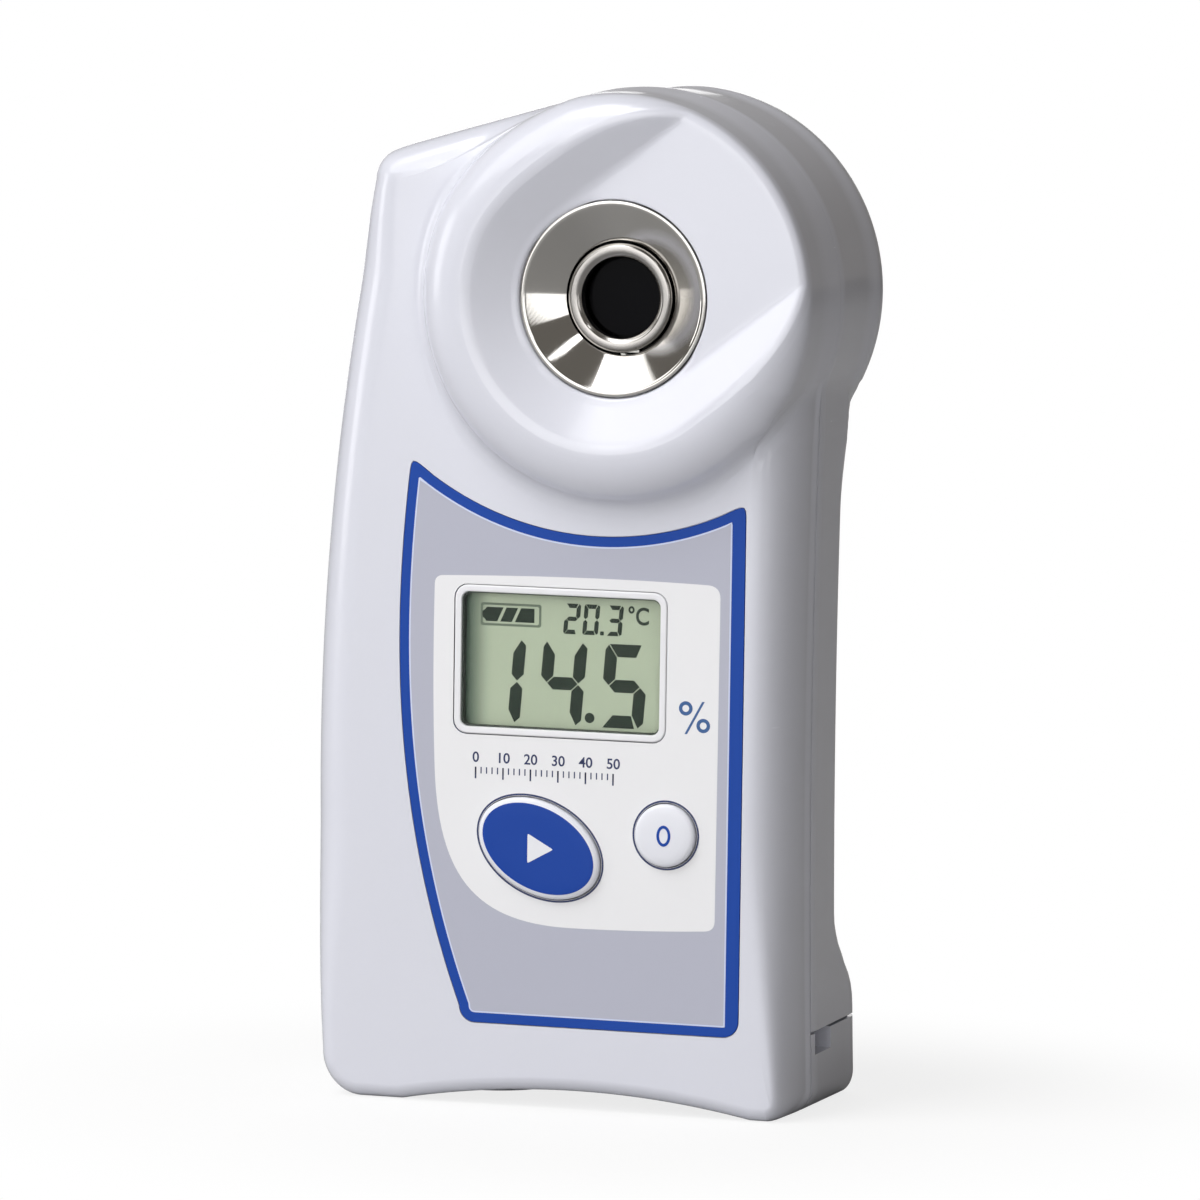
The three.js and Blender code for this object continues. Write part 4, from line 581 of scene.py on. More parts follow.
cone_steel = turned_steel("turned_cone_steel", (0.56, 0.545, 0.52), 0.07, 0.11)
collar_steel = turned_steel("turned_collar_steel", (0.40, 0.385, 0.37), 0.16, 0.09)
print("steel", cone_steel.name, collar_steel.name)

# %% Clear window and display glass
window_clear, tree, shader = new_material("window_acrylic")
feed(shader, {"Base Color": (0.95, 0.97, 0.95, 1), "Transmission Weight": 1.0, "IOR": 1.2,
              "Roughness": rubbed_roughness(tree, 0.35, 0.02, 0.07)})

GLASS_LEFT, GLASS_SHADE = -10.9, 3.5
display_grey, tree, shader = new_material("display_glass_grey")
skin = moulded_skin(tree, 5200.0, 60.0, 1.0)
lit = colour_between(tree, skin["Tone"], (0.375, 0.42, 0.315), (0.40, 0.44, 0.335))
# The glass darkens towards its left edge: painted shade of the frame's left wall over the recess.
across = add_node(tree, "ShaderNodeSeparateXYZ", {0: object_place(tree)}).outputs["X"]
shadow = add_node(tree, "ShaderNodeMapRange", {
    "Value": across, "From Min": GLASS_LEFT * MM, "From Max": (GLASS_LEFT + GLASS_SHADE) * MM},
    interpolation_type="SMOOTHSTEP").outputs[0]
feed(shader, {"Base Color": colour_between(tree, shadow, (0.05, 0.085, 0.06), lit), "Roughness": 0.3,
              "Specular IOR Level": 0.3})
bump(tree, shader, skin["Height"], 0.002)
print("materials", len(bpy.data.materials))

# %% [markdown]
# ## The outline of the case
# Seen from the front the case is one closed line: the head's circle, a sloping
# shoulder, a bowed left side, a foot with a low arch and a slightly hollow right side.
# The same line is used in the CAD model, with fewer points. Each point also knows its
# direction outwards and how round the front and back edges are there.

# %% Case sizes in millimetres
WIDTH = 57.0
HEAD_RADIUS = 22.01
SIDE_X, SIDE_HOLLOW = 26.7, 0.7
FACE_Y, SEAM_Y = -11.1, -2.5
CREST_Y, BACK_Y = -15.5, 15.5
WAIST_Y, SHOULDER_Y = 9.5, 13.0
BULGE_TOP, BULGE_FOOT, FLARE_FOOT, FLARE_TOP = 9.8, 20.0, 64.0, 79.0
LEFT_WIDEST, LEFT_FALL = 37.0, 4.0
DRAFT, HEAD_DRAFT = 0.04, 0.01
SLOPE = math.radians(16)
SHOULDER_RADIUS, LEFT_FOOT_RADIUS, RIGHT_FOOT_RADIUS = 4.0, 5.0, 2.6
ARCH_CENTRE, ARCH_HALF, ARCH_HEIGHT = 2.4, 19.6, 1.9
EDGE_TOP, EDGE_SHOULDER, EDGE_LEFT, EDGE_RIGHT, EDGE_FOOT = 4.2, 3.4, 5.0, 4.3, 1.6
DEPTH_RIGHT = 7.6
EDGE_RISE = 32.0
SHOULDER_RUN = 12.0
BACK_EDGE, BACK_EDGE_FOOT, HEAD_BACK_EDGE = 3.0, 1.4, 3.0


def left_side(z):
    return -WIDTH / 2 + LEFT_FALL * ((z - LEFT_WIDEST) / (HEAD_Z - LEFT_WIDEST)) ** 2


def right_side(z):
    return SIDE_X - SIDE_HOLLOW * 4 * (z / HEAD_Z) * (1 - z / HEAD_Z)


def back_y(z):
    if z < FLARE_FOOT:
        return mix(BACK_Y, WAIST_Y, ease((z - BULGE_TOP) / (BULGE_FOOT - BULGE_TOP)))
    return mix(WAIST_Y, SHOULDER_Y, ease((z - FLARE_FOOT) / (FLARE_TOP - FLARE_FOOT)))

# %% Points round the outline
HEAD_STEPS, SLOPE_STEPS, CORNER_STEPS, LEFT_STEPS, ARCH_STEPS, RIGHT_STEPS = 110, 12, 12, 70, 32, 64
SHOULDER_STRETCH = (HEAD_STEPS - 18, HEAD_STEPS + 20)


def outline_point(x, z, facing, front, on_head=False, deep=0.0):
    """A point, its direction outwards, and how round the front and back edges are there."""
    rise = ease((z - BULGE_TOP) / (BULGE_FOOT - BULGE_TOP))
    width = mix(EDGE_FOOT, front, ease(z / EDGE_RISE))
    return {"x": x, "z": z, "nx": math.cos(facing), "nz": math.sin(facing), "on_head": on_head,
            "angle": math.atan2(z - HEAD_Z, x - HEAD_X), "front": width,
            "depth": mix(width, DEPTH_RIGHT, deep), "back": mix(BACK_EDGE_FOOT, BACK_EDGE, rise)}


def outline_arc(x, z, radius, start, end, steps, front, on_head=False, deepens=0.0):
    points = []
    for i, facing in enumerate(between(start, end, steps)):
        place = x + radius * math.cos(facing), z + radius * math.sin(facing)
        points.append(outline_point(*place, facing, front, on_head, deepens * i / steps))
    return points


def shoulder_corner():
    """The centre of the arc that joins the sloping shoulder to the left side."""
    reach = HEAD_RADIUS - SHOULDER_RADIUS
    x, z = left_side(HEAD_Z) + SHOULDER_RADIUS, HEAD_Z
    for _ in range(40):
        run = HEAD_X - reach * math.sin(SLOPE) - x
        z = HEAD_Z + reach * math.cos(SLOPE) - run * math.tan(SLOPE)
        x = left_side(z) + SHOULDER_RADIUS
    return x, z


def case_outline():
    join = -math.acos((SIDE_X - HEAD_X) / HEAD_RADIUS)
    tangent = math.pi / 2 + SLOPE
    points = outline_arc(HEAD_X, HEAD_Z, HEAD_RADIUS, join, tangent, HEAD_STEPS, EDGE_TOP, on_head=True)
    start = points[-1]
    corner_x, corner_z = shoulder_corner()
    end_x = corner_x - SHOULDER_RADIUS * math.sin(SLOPE)
    for i in range(1, SLOPE_STEPS):
        x = mix(start["x"], end_x, i / SLOPE_STEPS)
        z = start["z"] - (start["x"] - x) * math.tan(SLOPE)
        points.append(outline_point(x, z, tangent, mix(EDGE_TOP, EDGE_SHOULDER, i / SLOPE_STEPS)))
    points += outline_arc(corner_x, corner_z, SHOULDER_RADIUS, tangent, math.pi, CORNER_STEPS, EDGE_SHOULDER)
    for z in between(corner_z, LEFT_FOOT_RADIUS, LEFT_STEPS)[1:-1]:
        edge = mix(EDGE_SHOULDER, EDGE_LEFT, ease((corner_z - z) / SHOULDER_RUN))
        points.append(outline_point(left_side(z), z, math.pi, edge))
    foot_x = left_side(LEFT_FOOT_RADIUS) + LEFT_FOOT_RADIUS
    points += outline_arc(foot_x, LEFT_FOOT_RADIUS, LEFT_FOOT_RADIUS, math.pi, math.pi * 1.5,
                          CORNER_STEPS + 2, EDGE_LEFT)
    for share in between(-1, 1, ARCH_STEPS):
        lean = math.atan(2 * share * ARCH_HEIGHT / ARCH_HALF)
        place = ARCH_CENTRE + ARCH_HALF * share, ARCH_HEIGHT * (1 - share * share)
        points.append(outline_point(*place, -math.pi / 2 - lean, EDGE_RIGHT))
    foot_x = right_side(RIGHT_FOOT_RADIUS) - RIGHT_FOOT_RADIUS
    points += outline_arc(foot_x, RIGHT_FOOT_RADIUS, RIGHT_FOOT_RADIUS, -math.pi / 2, 0,
                          CORNER_STEPS, EDGE_RIGHT, deepens=1)
    join_z = HEAD_Z + HEAD_RADIUS * math.sin(join)
    for z in between(RIGHT_FOOT_RADIUS, join_z, RIGHT_STEPS)[1:-1]:
        points.append(outline_point(right_side(z), z, 0, EDGE_RIGHT, deep=1))
    return points


outline = case_outline()
print("outline points", len(outline))

# %% [markdown]
# ## One column per point
# The shell is drawn as columns. Each runs from the head's centre out over the dish, the
# rounded band of the head, the flat face and the rounded edge, down to the seam. Real
# mouldings have no sharp inner corners, so each column is averaged over a short length
# near its corners. That is what a fillet does, and it works where the corner changes
# from place to place.

# %% Soften a column and sample it
DENSE_STEP, NO_REACH = 0.08, 1e-6
CORNER_FADE, CORNER_SPREAD, CORNER_SHARE, SEAM_FADE = 2.5, 2.2, 0.3, 6


class Column:
    def __init__(self, parts):
        self.parts = [np.array(p, float) for p in parts]
        dense, self.marks = [self.parts[0][:1]], [0.0]
        total = 0.0
        for part in self.parts:
            steps = np.linalg.norm(np.diff(part, axis=0), axis=1)
            length = steps.sum()
            count = max(2, int(length / DENSE_STEP))
            at = np.concatenate([[0], np.cumsum(steps)])
            want = np.linspace(0, length, count + 1)[1:]
            dense.append(np.stack([np.interp(want, at, part[:, k]) for k in range(3)], 1))
            total += length
            self.marks.append(total)
        self.path = np.concatenate(dense)
        steps = np.linalg.norm(np.diff(self.path, axis=0), axis=1)
        self.at = np.concatenate([[0], np.cumsum(steps)])
        middle = (self.path[1:] + self.path[:-1]) / 2 * steps[:, None]
        self.sums = np.concatenate([[[0, 0, 0]], np.cumsum(middle, axis=0)])

    def look(self, table, s):
        return np.stack([np.interp(s, self.at, table[:, k]) for k in range(3)], 1)

    def sample(self, s, corners):
        s = np.clip(np.array(sorted(s)), 0, self.at[-1])
        half = np.zeros(len(s))
        for place, reach in corners:
            if reach > NO_REACH:
                fade = np.clip((CORNER_FADE * reach - np.abs(s - place)) / reach, 0, 1)
                half = np.maximum(half, reach * fade)
        half = np.minimum(half, np.minimum(s, self.at[-1] - s))
        flat = half < NO_REACH
        width = np.where(flat, 1, 2 * half)[:, None]
        mean = (self.look(self.sums, s + half) - self.look(self.sums, s - half)) / width
        return np.where(flat[:, None], self.look(self.path, s), mean)


def spread(place, reach, count):
    """Values in even steps on both sides of a place."""
    return [place + reach * mix(-1, 1, (k + 0.5) / count) for k in range(count)]


def column_points(parts, reaches, counts, corner_samples=7):
    column = Column(parts)
    marks = column.marks
    corners = []
    for i, reach in enumerate(reaches, start=1):
        before, after = marks[i] - marks[max(0, i - 2)], marks[min(len(marks) - 1, i + 2)] - marks[i]
        corners.append((marks[i], min(reach, CORNER_SHARE * before, CORNER_SHARE * after)))
    s = []
    for i, count in enumerate(counts):
        s.extend(mix(marks[i], marks[i + 1], k / count) for k in range(count))
    s.append(marks[-1])
    for place, reach in corners:
        s.extend(spread(place, CORNER_SPREAD * reach, corner_samples))
    return column.sample(s, corners)


def calm(columns, stretch, rounds, kept):
    """Evens out neighbouring columns on a stretch of the outline, but not next to the seam."""
    places = np.array(columns)
    share = np.interp(np.arange(len(places)), [stretch[0], sum(stretch) / 2, stretch[1]], [0, 1, 0], 0, 0)
    away = np.clip((places.shape[1] - kept - np.arange(places.shape[1])) / SEAM_FADE, 0, 1)
    weight = 0.5 * np.minimum(1, 2 * share)[:, None, None] * away[None, :, None]
    for _ in range(rounds):
        mean = (np.roll(places, 1, 0) + np.roll(places, -1, 0)) / 2
        places = places * (1 - weight) + mean * weight
    return places


# %% Places shared by the front and the back
def edge_place(point, radius, taper, share, depth=None):
    """A place on the rounded edge: share 0 is where the flat ends, 1 is the side wall."""
    angle = share * math.pi / 2
    inset = radius * (1 - math.sin(angle))
    x = point["x"] - point["nx"] * (inset + taper)
    z = point["z"] - point["nz"] * inset - max(point["nz"], 0) * taper
    return x, z, (depth or radius) * (1 - math.cos(angle))


def hidden_share(point, radius, taper, head_wall):
    if point["on_head"]:
        return 1.0

    def under(share):
        x, z, _ = edge_place(point, radius, taper, share)
        return math.hypot(x - HEAD_X, z - HEAD_Z) < head_wall

    return last_true(under, 0.0, 1.0, 30) if under(0.0) else 0.0


def polar(angle, radius, y):
    return HEAD_X + radius * math.cos(angle), y, HEAD_Z + radius * math.sin(angle)


def moved_in(point, inset):
    """The angle and the distance from the head's centre of a point that is moved inwards."""
    x = point["x"] - point["nx"] * inset - HEAD_X
    z = point["z"] - point["nz"] * inset - HEAD_Z
    return math.atan2(z, x), math.hypot(x, z)


# %% [markdown]
# ## The front half of the case
# The head carries a shallow dish round the steel stage. The dish is let out as a scoop
# towards the upper right, so that a sample wipes off in one stroke. Outside the dish a
# rounded band falls to the flat face. The hole for the stage is part of the columns,
# and the places for the label, the display and the keys are cut afterwards.

# %% The front columns
STAGE_HOLE, HOLE_DEPTH = 10.5, 1.3
DISH_START, DISH_DEPTH = 10.9, 2.5
CREST_RADIUS, BAND_DROP = 15.8, 3.9
GROOVE = 0.15
SCOOP = math.radians(37)
FRONT_TAPER = DRAFT * (SEAM_Y - FACE_Y)
FRONT_HEAD = HEAD_RADIUS - FRONT_TAPER
DISH_FLOOR_Y = CREST_Y + DISH_DEPTH
FLAT_END = right_side(HEAD_Z - HEAD_RADIUS / 2) - EDGE_RIGHT - FRONT_TAPER - HEAD_X
SIDE_MEETS_HEAD = -math.acos(FLAT_END / FRONT_HEAD)
FRONT_REACHES, FRONT_COUNTS = [0.12, 0.7, 0.9, 1.5, 0.0], [2, 5, 8, 16, 10, 18]
BAND_STEPS, EDGE_STEPS = 12, 10


def dish_y(radius, angle):
    across = abs(radius * math.sin(angle - SCOOP))
    distance = across if math.cos(angle - SCOOP) > 0 else radius
    return DISH_FLOOR_Y - DISH_DEPTH / (CREST_RADIUS - DISH_START) * max(0, distance - DISH_START)


def band_y(radius):
    share = min(1.0, max(0.0, (radius - CREST_RADIUS) / (FRONT_HEAD - CREST_RADIUS)))
    return CREST_Y + BAND_DROP * (1 - math.sqrt(1 - share * share))


def front_column(point):
    angle = point["angle"]
    crest = last_true(lambda radius: dish_y(radius, angle) > band_y(radius), DISH_START, FRONT_HEAD, 40)
    scooped = math.cos(angle - SCOOP) > 0
    reach = DISH_START / max(abs(math.sin(angle - SCOOP)), 1e-6) if scooped else DISH_START
    floor_end = min(reach, crest)
    start = math.asin(min(1, max(0, (crest - CREST_RADIUS) / (FRONT_HEAD - CREST_RADIUS))))
    band = [polar(angle, mix(CREST_RADIUS, FRONT_HEAD, math.sin(a)), CREST_Y + BAND_DROP * (1 - math.cos(a)))
            for a in between(start, math.pi / 2, BAND_STEPS)]
    hidden = hidden_share(point, point["front"], FRONT_TAPER, FRONT_HEAD)
    edge = []
    for share in between(hidden, 1, EDGE_STEPS):
        x, z, drop = edge_place(point, point["front"], FRONT_TAPER, share, point["depth"])
        edge.append((x, FACE_Y + drop, z))
    below = angle if angle > 0 or angle < -math.pi / 2 else min(angle, SIDE_MEETS_HEAD)
    foot = edge[0] if hidden > 0 else polar(below, FRONT_HEAD, FACE_Y)
    hole, dish = polar(angle, STAGE_HOLE, DISH_FLOOR_Y), polar(angle, floor_end, DISH_FLOOR_Y)
    seam = [(point["x"], SEAM_Y - 2 * GROOVE, point["z"]),
            (point["x"] - GROOVE * point["nx"], SEAM_Y - GROOVE, point["z"] - GROOVE * point["nz"])]
    parts = [[polar(angle, STAGE_HOLE, DISH_FLOOR_Y + HOLE_DEPTH), hole], [hole, dish],
             [dish, polar(angle, crest, dish_y(crest, angle))], band + [foot], [foot, edge[0]], edge + seam]
    return column_points(parts, FRONT_REACHES, FRONT_COUNTS)


WALL, SEAM_WALL, WALL_LEAN, WALL_TURN_Y, CEILING_Y = 2.0, 1.7, 2.8, -6.0, -9.0
CUP_RADIUS, CUP_BORE, CUP_Y, NEAREST = 13.7, 9.2, -9.4, 14.5


def inner_places(point):
    """The inside of the front, from the seam back to the wall behind the dish."""
    places = []
    wall = ((SEAM_WALL, 0, SEAM_Y - GROOVE), (WALL, 0, WALL_TURN_Y), (WALL, WALL_LEAN, CEILING_Y))
    for inset, nearer, y in wall:
        angle, away = moved_in(point, inset)
        places.append(polar(angle, max(NEAREST, away - nearer), y))
    rest = ((CUP_RADIUS, CEILING_Y), (CUP_RADIUS, CUP_Y), (CUP_BORE, CUP_Y),
            (CUP_BORE, DISH_FLOOR_Y + HOLE_DEPTH))
    return places + [polar(point["angle"], radius, y) for radius, y in rest]


FRONT_ROUNDS, REAR_ROUNDS, KEPT_BY_SEAM = 12, 40, 4
skin = calm([front_column(p) for p in outline], SHOULDER_STRETCH, FRONT_ROUNDS, KEPT_BY_SEAM)
columns = [list(map(tuple, column)) + inner_places(p) for column, p in zip(skin, outline)]
front_shell = rings_object("front_shell", rings_of(columns), loop=True)
print("front shell before its cuts", len(front_shell.data.polygons))

# %% [markdown]
# ### The label's outline
# The label's top follows the head, its left side bows and sweeps in towards the foot,
# and its lower corners are a little rounded.

# %% Label outline
LABEL_LEFT, LABEL_RIGHT, LABEL_FOOT_LEFT, LABEL_BOTTOM = -16.6, 20.95, -10.4, 8.9
LABEL_CORNER = 1.7
LABEL_TOP = {"x": 4.8, "z": 95.5, "radius": 34.0}


def eased_corner(points, at, radius, steps=6):
    """A sharp corner of a closed outline gives way to a short curve."""
    corner, count = points[at], len(points)
    ends, gone = [], {at}
    for way in (-1, 1):
        k = at
        while math.dist(points[k % count], corner) < radius:
            gone.add(k % count)
            k += way
        far = points[k % count]
        share = radius / math.dist(far, corner)
        ends.append((mix(corner[0], far[0], share), mix(corner[1], far[1], share)))
    curve = bezier([ends[0], corner, corner, ends[1]], steps)
    made = []
    for k, point in enumerate(points):
        made += curve if k == at else [] if k in gone else [point]
    return made


def label_outline():
    left = math.degrees(math.acos((LABEL_LEFT - LABEL_TOP["x"]) / LABEL_TOP["radius"]))
    turn = math.degrees(math.acos((LABEL_RIGHT - LABEL_TOP["x"]) / LABEL_TOP["radius"]))
    top = arc(LABEL_TOP["x"], LABEL_TOP["z"], LABEL_TOP["radius"], -left, -turn, 40)
    low = LABEL_BOTTOM + LABEL_CORNER
    points = top + arc(LABEL_RIGHT - LABEL_CORNER, low, LABEL_CORNER, 0, -90, 8)
    points += arc(LABEL_FOOT_LEFT + LABEL_CORNER, low, LABEL_CORNER, -90, -180, 8)
    points += bezier([(LABEL_FOOT_LEFT, low), (-18.9, 32.4), (-18.46, 52.84), top[0]], 44)[1:-1]
    return eased_corner(eased_corner(points, len(top) - 1, 2.2), 0, 2.0)


label = label_outline()
print("label outline points", len(label))

# %% Cut the places for the label, the display and the keys
DISPLAY, DISPLAY_SIZE, DISPLAY_CORNER = (0.45, 47.86), (23.9, 16.0), 1.5
START, START_TILT, START_HALF = (-1.5, 28.0), math.radians(-25), (7.16, 4.91)
ZERO, ZERO_HALF = (12.6, 30.1), (3.36, 3.36)
KEY_GAP = 0.13
THROUGH = (FACE_Y - 1, FACE_Y + 2)


def start_shape(more=0.0):
    return ellipse(*START, START_HALF[0] + more, START_HALF[1] + more, START_TILT)


def zero_shape(more=0.0):
    return ellipse(*ZERO, ZERO_HALF[0] + more, ZERO_HALF[1] + more)


def display_shape(more=0.0, corner=DISPLAY_CORNER):
    width, height = (size + 2 * more for size in DISPLAY_SIZE)
    return rounded_box(*DISPLAY, width, height, corner)


def front_openings(front, back, room):
    shapes = (display_shape(room), start_shape(KEY_GAP), zero_shape(KEY_GAP))
    return [plate("opening", shape, front, back) for shape in shapes]


LABEL_ROOM, LABEL_SEAT_Y, DISPLAY_ROOM, WALL_BACK_Y = 0.08, -10.62, 0.14, -8.6
label_cut = plate("label_cut", grow(label, LABEL_ROOM), THROUGH[0], LABEL_SEAT_Y)
combine(front_shell, [label_cut] + front_openings(THROUGH[0], WALL_BACK_Y, DISPLAY_ROOM))
settle(front_shell, "case", case_white, ["front_case"], angle=38)

# %% [markdown]
# ## The rear half of the case
# At the back the head stands out as a drum, the body is hollowed at the waist for the
# fingers, and the foot swells out again over the ends of the cells. The same columns
# are used, with the back's profile as their path. The hollow inside is made from
# plainer columns and taken out.

# %% The rear columns
BACK_WALL, INNER_DROP, REAR_WALL, ROOF_DROP, ROOF_STEPS = 1.4, 2.6, 2.2, 3.0, 24
DISC_HOLE = 4.0
DISC_STEPS, DRUM_STEPS, REAR_EDGE_STEPS, FILLET_STEPS = 6, 14, 16, 12
FILLET, FILLET_SPREAD = 2.0, 2.4
REAR_HEAD = HEAD_RADIUS - HEAD_DRAFT * (BACK_Y - SEAM_Y)
INNER_HEAD = REAR_HEAD - BACK_WALL
SLOPES = ((BULGE_TOP, BULGE_FOOT, 15), (BULGE_FOOT, FLARE_FOOT, 12), (FLARE_FOOT, FLARE_TOP, 13))
HEIGHTS = sorted({round(v, 3) for slope in SLOPES for v in np.linspace(*slope)}, reverse=True)


def rear_parts(point):
    angle = point["angle"]
    taper = DRAFT * (back_y(point["z"]) - SEAM_Y)
    hidden = hidden_share(point, point["back"], taper, REAR_HEAD)
    start = edge_place(point, point["back"], taper, hidden)
    wall_place = polar(angle, REAR_HEAD, 0)
    foot = start if hidden > 0 else (wall_place[0], wall_place[2], 0.0)
    foot_y = back_y(foot[1]) - foot[2]
    full = BACK_Y - foot_y
    end = math.acos(1 - full / HEAD_BACK_EDGE) if full < HEAD_BACK_EDGE else math.pi / 2
    drum = [polar(angle, REAR_HEAD - HEAD_BACK_EDGE * (1 - math.sin(turn)),
                  BACK_Y - HEAD_BACK_EDGE * (1 - math.cos(turn))) for turn in between(0, end, 10)]
    drum.append((foot[0], foot_y, foot[1]))
    body = [drum[-1]]
    for height in HEIGHTS:
        share = min(1, max(0, (foot[1] - height) / (foot[1] - start[1]))) if foot[1] > start[1] + 1e-9 else 0
        z = mix(foot[1], start[1], share)
        body.append((mix(foot[0], start[0], share), back_y(z) - mix(foot[2], start[2], share), z))
    body.append((start[0], back_y(start[1]) - start[2], start[1]))
    edge = []
    for share in between(hidden, 1, 8):
        x, z, drop = edge_place(point, point["back"], taper, share)
        edge.append((x, back_y(z) - drop, z))
    seam = [(point["x"] - inset * point["nx"], SEAM_Y + 2 * GROOVE - inset, point["z"] - inset * point["nz"])
            for inset in (0.0, GROOVE)]
    return [polar(angle, DISC_HOLE, BACK_Y), drum[0]], drum, body, edge + seam


def rear_column(point):
    parts = rear_parts(point)
    body = parts[2]
    column = Column(parts)
    marks = column.marks
    reach = min(FILLET, CORNER_SHARE * (marks[2] - marks[1]), CORNER_SHARE * (marks[4] - marks[2]))
    body_at = np.cumsum([0] + [float(np.linalg.norm(np.subtract(b, a))) for a, b in zip(body, body[1:])])
    s = between(marks[0], marks[1], DISC_STEPS)[:-1] + between(marks[1], marks[2], DRUM_STEPS)[:-1]
    s += [marks[2] + v for v in body_at[:-1]] + between(marks[3], marks[4], REAR_EDGE_STEPS)
    s += spread(marks[2], FILLET_SPREAD * reach, FILLET_STEPS)
    return column.sample(s, [(marks[2], reach)])


def hollow_column(point):
    """The inside: nearer the centre than the outline, and lower than the back."""
    angle, reach = moved_in(point, REAR_WALL)

    def roof(radius):
        x, _, z = polar(angle, radius, 0)
        return x, back_y(z) - BACK_WALL, z

    rim = max(reach, INNER_HEAD)
    places = [polar(angle, rim, SEAM_Y - 1), polar(angle, rim, roof(rim)[1] - ROOF_DROP)]
    places += [roof(radius) for radius in between(max(rim - INNER_DROP, INNER_HEAD), INNER_HEAD, ROOF_STEPS)]
    rest = ((INNER_HEAD - 0.2, INNER_DROP), (INNER_HEAD - INNER_DROP, 0.0), (DISC_HOLE, 0.0))
    return places + [polar(angle, radius, BACK_Y - BACK_WALL - drop) for radius, drop in rest]


columns = calm([rear_column(p) for p in outline], SHOULDER_STRETCH, REAR_ROUNDS, KEPT_BY_SEAM)
rear_shell = rings_object("rear_shell", rings_of(columns))
hollow = rings_object("rear_hollow", rings_of([hollow_column(p) for p in outline[::2]]))
print("rear outer skin", volume(rear_shell), "hollow", volume(hollow), "mm3")


# %% [markdown]
# ### Splitting off the battery cap
# The lower end of the rear half is a separate cap. It is cut from the same skin, so that
# both run on into each other, and a fine gap is left between them.

# %% Cutting tools
CAP_TOP, REAR_BOTTOM, CAP_FLOOR = 8.45, 8.75, 3.9
SLOT = {"front": -1.35, "back": 4.95, "bottom": 6.2, "left": 21.4, "bar": 23.9, "wall": 1.8}
SCREWS = [(-22.6, 27.0), (22.2, 27.0), (21.5, 66.5), (-20.3, 84.0)]
GASKET, SEAT_WALL = 0.3, 1.4
SCREW_SEAT = SEAM_Y + GROOVE + GASKET + SEAT_WALL
TUBE_RADIUS, WELL_RADIUS, BORE_RADIUS = 2.7, 2.2, 1.3
KNOB, KNOB_RADIUS = (-12.0, 5.6), 7.2
PLATE, PLATE_SIZE = (-0.6, 43.0), (32.0, 24.0)
PLATE_ROOM, SEAT_DEPTH, PRINT_RISE = 0.3, 0.4, 0.012
KNOB_ROOM, KNOB_SEAT_TOP, SHAFT_HOLE, FAR_BELOW, FAR_ABOVE = 0.2, 2.4, 2.2, -5, 120
LOCK_DOT_RADIUS, LOCK_DOTS = 0.45, ((-2.6, 5.6, 1.95), (-12.0, 14.2, 0.55))


def slab(low, high):
    return box_object("slab", (-40, -20, low), (40, 20, high))


# %% Hollow the rear case and sink its screws
cap_shell = new_object("cap_shell", rear_shell.data.copy())
cap_hollow = new_object("cap_hollow", hollow.data.copy())
combine(rear_shell, [hollow])
TUBE_FRONT, TUBE_SHORT = SEAM_Y + GROOVE + GASKET, 0.6
tubes = [plate("tube", round_line(x, z, TUBE_RADIUS, 48), TUBE_FRONT, back_y(z) - TUBE_SHORT)
         for x, z in SCREWS]
SLOT_WALL, SLOT_FRONT, SLOT_BACK = SLOT["left"] - SLOT["wall"], SEAM_Y + GROOVE, SLOT["back"] + SLOT["wall"]
slot_roof = box_object("slot_roof", (SLOT_WALL, SLOT_FRONT, 6), (SIDE_X - 1, SLOT_BACK, 10.55))
combine(rear_shell, tubes + [slot_roof], "UNION")
wells = [plate("well", round_line(x, z, WELL_RADIUS, 48), SCREW_SEAT, BACK_Y + 2) for x, z in SCREWS]
bores = [plate("bore", round_line(x, z, BORE_RADIUS, 32), SEAM_Y - 1, SCREW_SEAT + 1) for x, z in SCREWS]
seat_line = rounded_box(*PLATE, *[size + PLATE_ROOM for size in PLATE_SIZE], 1.5)
plate_seat = plate("plate_seat", seat_line, WAIST_Y - SEAT_DEPTH, BACK_Y)
combine(rear_shell, wells + bores + [plate_seat, slab(FAR_BELOW, REAR_BOTTOM)])
settle(rear_shell, "case", case_white, ["rear_case"], angle=38)
print("rear case", volume(rear_shell), "mm3")

# %% Hollow the cap, with its strap slot and the seat of its knob
combine(cap_hollow, [slab(FAR_BELOW, CAP_FLOOR)])
combine(cap_shell, [slab(CAP_TOP, FAR_ABOVE)])
combine(cap_shell, [cap_hollow])
WALL_FOOT, WALL_END = CAP_FLOOR - 0.1, SIDE_X - 1.6
walls = [
    ((SLOT_WALL, SLOT_FRONT, WALL_FOOT), (SLOT["left"] + 0.1, SLOT_BACK, CAP_TOP)),
    ((SLOT_WALL, SLOT["back"] - 0.1, WALL_FOOT), (WALL_END, SLOT_BACK, CAP_TOP)),
    ((SLOT_WALL, SLOT_FRONT, WALL_FOOT), (WALL_END, SLOT["front"], CAP_TOP)),
]
combine(cap_shell, [box_object("slot_wall", *corners) for corners in walls], "UNION")
pocket = box_object("pocket", (SLOT["left"], SLOT["front"], -2), (SLOT["bar"], SLOT["back"], 12))
mouth = box_object("mouth", (SLOT["left"], SLOT["front"], SLOT["bottom"]), (30, SLOT["back"], 12))
knob_seat = hole_up(KNOB_RADIUS + KNOB_ROOM, KNOB_SEAT_TOP, *KNOB)
shaft_hole = hole_up(SHAFT_HOLE, CAP_TOP + 0.55, *KNOB, sides=40)
lock_dots = [hole_up(LOCK_DOT_RADIUS, top, x, y, sides=24) for x, y, top in LOCK_DOTS]
combine(cap_shell, [pocket, mouth, knob_seat, shaft_hole] + lock_dots)
settle(cap_shell, "battery_cap", case_white, ["battery_cap"], angle=38)
print("battery cap", volume(cap_shell), "mm3")

